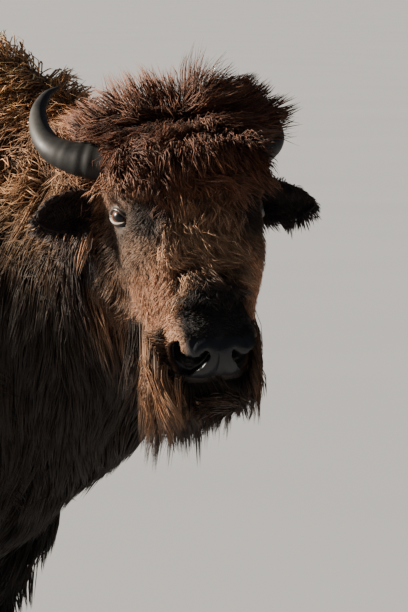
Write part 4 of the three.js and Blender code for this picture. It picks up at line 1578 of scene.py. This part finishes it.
class BISON_OT_beard(bpy.types.Operator):
    """Hangs the beard from the chin and jaw"""

    bl_idname = "bison.beard"
    bl_label = "Beard"

    def execute(self, context):
        coat, colours = context.scene.bison_coat, context.scene.bison_colours
        hide = Hide.current
        rng = np.random.default_rng(coat.seed + 2)
        envelope = tree_of(node_mesh("beard"))

        def on_jaw(points, facing):
            x, y, z, down, out = head_parts(points)
            under = ease(0.046, 0.030, out) * ease(-0.15, -0.20, z)
            chin = 1 + 2.5 * ease(0.26, 0.29, down)
            return under * ease(-0.12, -0.07, x) * (np.abs(y) < 0.14) * chin

        roots, facing = hide.roots(TUFTS["beard"], on_jaw, rng)
        head = to_head(roots)
        # Each lock hangs to the envelope's foot, looked for from below it and ever nearer to the middle.
        below, usual_end = -0.62, -0.33
        middle_x = 0.012
        spread = 0.94 + 0.10 * rng.random(len(roots))
        foot_x = middle_x + (head[:, 0] - middle_x) * spread
        foot_y = head[:, 1] * spread
        ends = np.empty(len(roots))
        up_way = Vector(turn_from_head((0, 0, 1)))
        for i, (fx, fy) in enumerate(zip(foot_x, foot_y)):
            for inward in (0.92, 0.8, 0.62, 0.45):
                start = Vector(from_head((fx * inward, fy * inward, below)))
                hit = envelope.ray_cast(start, up_way, 0.4)[0]
                if hit:
                    break
            ends[i] = below + (hit - start).length if hit else usual_end
        ragged = rng.beta(4, 1.4, len(roots)) * 1.12
        drop = (head[:, 2] - ends) * ragged
        drop = np.maximum(drop, 0.03)
        steps = 4
        path = np.empty((len(roots), steps + 1, 3))
        bend = drift(roots, size=0.05, seed=9) * 0.012
        facing_head = facing @ HEAD_AXES.T
        for k in range(steps + 1):
            t = k / steps
            place = head.copy()
            place[:, 0] += (foot_x - head[:, 0]) * t + facing_head[:, 0] * 0.012 * math.sin(t * 2.4)
            place[:, 1] += (foot_y - head[:, 1]) * t + facing_head[:, 1] * 0.012 * math.sin(t * 2.4)
            place[:, 2] -= drop * t
            stray = rng.normal(0, 0.0022, (len(roots), 3))
            path[:, k] = from_head(place) + bend * math.sin(t * 4.5) + stray * t
        path, leader = clump(path, rng, size=12, pull=0.75)
        outer = np.clip(np.hypot((head[:, 0] - 0.01) / 0.11, head[:, 1] / 0.10), 0, 1)
        chin = ease(0.03, 0.075, head[:, 0]) * ease(0.075, 0.04, np.abs(head[:, 1]))
        gold = ease(0.45, 0.9, outer) * (1 - 0.85 * chin) * ease(-0.075, -0.015, head[:, 0])
        # Painted shade: the locks on the animal's left, away from the sun, are made less golden.
        gold *= 1 - 0.6 * ease(0.0, 0.05, head[:, 1])
        # Whole locks differ, some pale and some nearly as dark as the chin's.
        gold *= rng.uniform(0.3, 1.15, len(roots))[leader]
        tone = paint(np.tile(np.array(colours.beard_dark), (len(roots), 1)), colours.beard_gold, gold)
        width = rng.uniform(0.0018, 0.0032, len(path))
        hair = hair_material("coarse_beard_hair", roughness=0.6, streak_mm=2.0)
        level = np.zeros(len(roots))
        outward = turn_from_head(unit(np.stack([head[:, 0] - 0.01, head[:, 1], level], 1)))
        grow(
            context, "beard_locks", path, outward, width, hair,
            tone=tone, tip=1.8, uneven=0.45, replaces=("beard",),
        )
        return {"FINISHED"}


class BISON_OT_ear_hair(bpy.types.Operator):
    """Grows the fringe and the lining of the ears"""

    bl_idname = "bison.ear_hair"
    bl_label = "Ears"

    def execute(self, context):
        coat = context.scene.bison_coat
        hide = Hide.current
        rng = np.random.default_rng(coat.seed + 3)

        def on_ear(points, facing):
            x, y, z = to_head(points).T
            return (np.abs(y) > 0.128) & (x < -0.055) & (x > -0.12) & (np.abs(z) < 0.05)

        roots, facing = hide.roots(TUFTS["ears"], on_ear, rng)
        head = to_head(roots)
        side = np.sign(head[:, 1])
        edge = ease(0.014, 0.034, np.abs(head[:, 2]))
        # Hair runs out along the ear and fans from its edges; the lower fringe hangs.
        way = np.stack([0.25 + 0 * side, side * 0.9, np.sign(head[:, 2]) * edge * 0.8 - 0.30], 1)
        way = unit(turn_from_head(way) + facing * 0.55 + drift(roots, size=0.03, seed=4) * 0.5)
        length = rng.uniform(0.008, 0.019, len(roots)) * (1 + 0.7 * (head[:, 2] < -0.015))
        steps, sag = 3, np.array([0, 0, -0.006])
        path = np.empty((len(roots), steps + 1, 3))
        for k in range(steps + 1):
            t = k / steps
            path[:, k] = roots - facing * 0.001 + way * (length * t)[:, None] + sag * t * t
        path, _ = clump(path, rng, size=6, pull=0.5)
        width = rng.uniform(0.0012, 0.0022, len(path))
        soft = hair_material("soft_ear_hair", roughness=0.7, streak_mm=2.0)
        grow(context, "ear_hair", path, facing, width, soft, tip=1.5)
        return {"FINISHED"}


def body_flow(points):
    """The lie of the coat over trunk, neck and legs: back and down, straight down on the neck and chest."""
    along, height = points[:, 0], points[:, 2]
    neck = ease(0.35, 0.60, along)
    low = ease(0.95, 0.70, height)
    rear = ease(0.10, -0.20, along)
    back = -(0.75 * (1 - neck) * (1 - 0.6 * low) + 0.25 * rear + 0.12)
    down = -(0.55 + 0.55 * neck + 0.5 * low - 0.2 * rear)
    outward = np.sign(points[:, 1] - BODY_MIDDLE) * 0.35 * ease(1.35, 1.5, height)
    return np.stack([back, outward, down], 1)


class BISON_OT_cape(bpy.types.Operator):
    """Grows the woolly cape over hump and shoulders and the long hair of neck and chest"""

    bl_idname = "bison.cape"
    bl_label = "Cape, neck and chest"

    def execute(self, context):
        coat = context.scene.bison_coat
        hide = Hide.current
        wool = hair_material("curly_cape_wool", roughness=0.75, streak_mm=3.0)
        long_hair = hair_material("long_neck_hair", roughness=0.6, streak_mm=2.5)
        for number, (word, side) in enumerate((("right", -1), ("left", 1))):
            rng = np.random.default_rng(coat.seed + 10 + number)
            near = side < 0

            def woolly(points, facing, side=side):
                x, y, _ = to_head(points).T
                along, height = points[:, 0], points[:, 2]
                here = ease(-0.015, 0.0, (points[:, 1] - BODY_MIDDLE) * side)
                off_head = 1 - ease(-0.14, -0.11, x) * ease(0.42, 0.36, np.abs(y))
                low = np.maximum(ease(0.42, 0.62, along) * ease(1.30, 1.14, height), ease(0.86, 0.68, height))
                fore = ease(-0.16, 0.02, along)
                return here * off_head * fore * (1 - low) * (1 + 2.6 * ease(0.2, 0.6, along) * near)

            roots, facing = hide.roots(TUFTS[f"{word}_cape"], woolly, rng)
            size = ease(-0.16, 0.10, roots[:, 0])
            layer = rng.beta(1.8, 1.2, len(roots))
            rise = coat.cape_rise * (0.40 + 0.60 * layer) * (0.35 + 0.65 * size)
            length = coat.cape_length * rng.uniform(0.6, 1.15, len(roots)) * (0.5 + 0.5 * size)
            flow = wandering(body_flow, size=0.06, amount=0.95, seed=21)
            path = comb(hide, roots, facing, flow, length, rise, steps=3, curve=0.6, wave=0.5, rng=rng)
            path = curl(path, 0.012 * rng.random(len(path)), turns=1.2, rng=rng)
            path, _ = clump(path, rng, size=6, pull=0.35)
            path, facing = self.inside(path, facing)
            width = rng.uniform(0.0018, 0.0034, len(path)) * (1 if near else 1.7)
            grow(context, f"{word}_cape_wool", path, facing, width, wool, tip=1.9, uneven=0.42)

            def hanging(points, facing, side=side):
                x, y, _ = to_head(points).T
                along, height = points[:, 0], points[:, 2]
                here = ease(-0.015, 0.0, (points[:, 1] - BODY_MIDDLE) * side)
                # Ahead of the shoulder the neck bends, and its own middle line parts the two sides.
                here = np.where(along > 0.55, 1.0 * (np.sign(side) == np.sign(neck_side(points))), here)
                off_head = 1 - ease(-0.14, -0.11, x) * ease(0.42, 0.36, np.abs(y))
                low = np.maximum(ease(0.40, 0.60, along) * ease(1.34, 1.18, height), ease(0.90, 0.70, height))
                fore = ease(-0.06, 0.10, along)
                thicker = 1 + 1.2 * near * (along > 0.4)
                return here * off_head * fore * low * ease(0.30, 0.38, height) * thicker

            roots, facing = hide.roots(TUFTS[f"{word}_neck"], hanging, rng)
            along, height = roots[:, 0], roots[:, 2]
            leg = ease(0.56, 0.46, height)
            layer = rng.beta(1.8, 1.2, len(roots))
            rise = (coat.cape_rise * (1 - leg) + 0.026 * leg) * (0.30 + 0.60 * layer)
            length = coat.neck_length * rng.uniform(0.55, 1.1, len(roots)) * (1 - 0.45 * leg)
            flow = wandering(body_flow, size=0.12, amount=0.15, seed=22)
            path = comb(hide, roots, facing, flow, length, rise, steps=3, curve=0.7, wave=0.08, rng=rng)
            path = curl(path, 0.004 * rng.random(len(path)), turns=0.7, rng=rng)
            path, _ = clump(path, rng, size=12, pull=0.7)
            # Hair of the neck that doesn't hang is left out.
            way = unit(path[:, -1] - path[:, 0])
            last = unit(path[:, -1] - path[:, -2])
            hangs = ((way[:, 2] < -0.35) & (last[:, 2] < -0.30)) | (along < 0.35)
            path, facing = self.inside(path[hangs], facing[hangs])
            width = rng.uniform(0.0024, 0.0044, len(path)) * (1 if near else 1.5)
            grow(context, f"{word}_neck_hair", path, facing, width, long_hair, tip=1.45)
        return {"FINISHED"}

    def inside(self, path, facing):
        """Drops the tufts that would cover the face or reach below the knee."""
        x, y, z = to_head(path[:, -1]).T
        ahead = (x > -0.105) & (np.abs(y) < 0.17) & (z > -0.26) & (z < 0.05)
        keep = ~ahead & clear_of_horns(path) & (path[:, -1, 2] > 0.27)
        return path[keep], facing[keep]


def neck_side(points):
    """Positive to the animal's left of the bent middle line of the neck."""
    along = [0.45, 0.62, 0.73, 0.82, 0.90]
    shift = [0.0, -0.012, -0.052, -0.122, -0.192]
    bent = np.interp(points[:, 0], along, shift)
    return points[:, 1] - BODY_MIDDLE - bent


class BISON_OT_body_coat(bpy.types.Operator):
    """Covers barrel, hips and legs with short tufts, and hangs the tail's tuft"""

    bl_idname = "bison.body_coat"
    bl_label = "Barrel, hips, legs and tail"

    def execute(self, context):
        coat, colours = context.scene.bison_coat, context.scene.bison_colours
        hide = Hide.current
        rng = np.random.default_rng(coat.seed + 30)
        short = hair_material("short_body_fur", roughness=0.75, streak_mm=3.0)

        def rear(points, facing):
            along, height = points[:, 0], points[:, 2]
            x, _, z = to_head(points).T
            trunk = ease(0.02, -0.16, along)
            legs = ease(0.50, 0.42, height) * 1.3
            return np.maximum(trunk, legs) * (z < 0.3) * (x < -0.2) * (height > 0.075)

        roots, facing = hide.roots(TUFTS["body"], rear, rng)
        along, height = roots[:, 0], roots[:, 2]
        shank = np.where(along > 0, ease(0.46, 0.34, height), ease(0.60, 0.42, height))
        length = 0.034 * rng.uniform(0.6, 1.2, len(roots)) * (1 - 0.45 * shank)
        rise = coat.rear_depth * rng.uniform(0.15, 0.5, len(roots)) * (1 - 0.5 * shank)
        flow = wandering(body_flow, size=0.12, amount=0.3, seed=31)
        path = comb(hide, roots, facing, flow, length, rise, steps=2, curve=0.8, wave=0.2, rng=rng)
        path, _ = clump(path, rng, size=6, pull=0.45)
        keep = path[:, :, 2].min(axis=1) > 0.055
        width = rng.uniform(0.0022, 0.0040, len(path)) * (1 - 0.4 * shank)
        path, facing, width = path[keep], facing[keep], width[keep]
        grow(context, "body_fur", path, facing, width, short, root=0.95, tip=1.35, uneven=0.16)

        low, high = (np.array(v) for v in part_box("tail_tuft"))
        middle = (low + high) / 2
        count = TUFTS["tail"]
        turn = rng.uniform(0, 2 * math.pi, count)
        start = rng.uniform(0.02, 1.0, count) ** 0.8
        round_way = np.stack([np.cos(turn), np.sin(turn), 0 * turn], 1)
        roots = np.array([middle[0], middle[1], 0]) + round_way * 0.008
        roots[:, 2] = high[2] + 0.02 - start * 0.13
        bulge = rng.uniform(0.3, 1.0, count)[:, None] * 0.030
        end = low[2] + rng.beta(1.2, 3.0, count) * 0.10
        steps = 4
        path = np.empty((count, steps + 1, 3))
        for k in range(steps + 1):
            t = k / steps
            path[:, k] = roots + round_way * bulge * math.sin(t * 2.7)
            path[:, k, 2] = roots[:, 2] + (end - roots[:, 2]) * t
        path, _ = clump(path, rng, size=10, pull=0.5)
        tone = np.tile(np.array(colours.leg_dark), (count, 1)) * 1.2
        width = rng.uniform(0.003, 0.005, count)
        hair = hair_material("tail_tuft_hair", roughness=0.55, streak_mm=2.0)
        grow(
            context, "tail_tuft_hair", path, round_way, width, hair,
            tone=tone, tip=1.3, replaces=("tail_tuft",),
        )
        return {"FINISHED"}


# ---- The stage ----

FLOOR_RADIUS = 220
SKY_COLOUR = "#d3e2f7"
SUN_COLOUR = (1.0, 0.90, 0.76)
SUN_WIDTH = math.radians(4)
# Where the sun stands: shares of the way to the camera's right, towards the camera, and up.
SUN_AT = (-1.0, -0.12, 0.38)
SENSOR_MM = 36
# The frame's size, and where in it the eyes' middle stands, across and down, all in pixels.
FRAME_ACROSS = 408
FRAME_DOWN = 612
EYES_ACROSS = 188
EYES_DOWN = 211


class BISON_OT_stage(bpy.types.Operator):
    """Lays the floor, sets the lights and the camera"""

    bl_idname = "bison.stage"
    bl_label = "Floor, lights and camera"

    def execute(self, context):
        settings = context.scene.bison_stage
        bpy.ops.object.select_all(action="DESELECT")
        bpy.ops.mesh.primitive_circle_add(vertices=96, radius=FLOOR_RADIUS, fill_type="NGON")
        floor = bpy.context.object
        floor.name = "studio_floor"
        floor.data.materials.append(floor_material())
        world = bpy.data.worlds.new("soft_daylight")
        context.scene.world = world
        world.use_nodes = True
        background = world.node_tree.nodes["Background"]
        background.inputs["Color"].default_value = (*to_linear(SKY_COLOUR), 1)
        background.inputs["Strength"].default_value = settings.fill

        # A low warm sun shines from behind the animal's right side, wide enough to soften its shadows.
        bpy.ops.object.light_add(type="SUN")
        key = bpy.context.object
        key.name = "low_sun"
        key.data.energy = settings.key_power
        key.data.angle = SUN_WIDTH
        key.data.color = SUN_COLOUR
        turn = math.radians(settings.azimuth)
        towards_camera = Vector((math.sin(turn), -math.cos(turn), 0))
        to_right = Vector((math.cos(turn), math.sin(turn), 0))
        source = (to_right * SUN_AT[0] + towards_camera * SUN_AT[1] + Vector((0, 0, SUN_AT[2]))).normalized()
        key.rotation_euler = source.to_track_quat("Z", "Y").to_euler()

        bpy.ops.object.camera_add()
        camera = bpy.context.object
        camera.name = "portrait_camera"
        camera.data.lens = settings.lens
        camera.data.sensor_width = SENSOR_MM
        camera.data.clip_end = 1000
        context.scene.camera = camera
        # The camera is turned until the eyes' middle stands at its place in the frame.
        pixels = settings.lens / SENSOR_MM * FRAME_DOWN
        place = HEAD_AT + towards_camera * settings.distance
        place.z = settings.height
        sight = HEAD_AT - place
        level = math.atan2(sight.z, math.hypot(sight.x, sight.y))
        level += math.atan((EYES_DOWN - FRAME_DOWN / 2) / pixels)
        heading = math.atan2(sight.y, sight.x) + math.atan((EYES_ACROSS - FRAME_ACROSS / 2) / pixels)
        camera.location = place
        camera.rotation_euler = (math.pi / 2 + level, 0, heading - math.pi / 2)
        return {"FINISHED"}


# ---- The add-on ----

STEPS = (
    BISON_OT_skin,
    BISON_OT_measure_hide,
    BISON_OT_eyes,
    BISON_OT_horns,
    BISON_OT_hooves,
    BISON_OT_mop,
    BISON_OT_face_coat,
    BISON_OT_beard,
    BISON_OT_ear_hair,
    BISON_OT_cape,
    BISON_OT_body_coat,
    BISON_OT_stage,
)
GROUPS = {
    "bison_coat": BisonCoat,
    "bison_colours": BisonColours,
    "bison_head": BisonHead,
    "bison_stage": BisonStage,
}


class BISON_PT_panel(bpy.types.Panel):
    """Lists the steps in the order in which they run"""

    bl_label = "Bison"
    bl_idname = "BISON_PT_panel"
    bl_space_type = "VIEW_3D"
    bl_region_type = "UI"
    bl_category = "Bison"

    def draw(self, context):
        for step in STEPS:
            self.layout.operator(step.bl_idname)
        for name, group in GROUPS.items():
            box = self.layout.box()
            for key in group.__annotations__:
                box.prop(getattr(context.scene, name), key)


def register():
    for kind in (*GROUPS.values(), *STEPS, BISON_PT_panel):
        bpy.utils.register_class(kind)
    for name, group in GROUPS.items():
        setattr(bpy.types.Scene, name, PointerProperty(type=group))


def unregister():
    for name in GROUPS:
        delattr(bpy.types.Scene, name)
    for kind in reversed((*GROUPS.values(), *STEPS, BISON_PT_panel)):
        bpy.utils.unregister_class(kind)


def main():
    register()
    for step in STEPS:
        group, name = step.bl_idname.split(".")
        getattr(getattr(bpy.ops, group), name)()


if __name__ == "__main__":
    main()
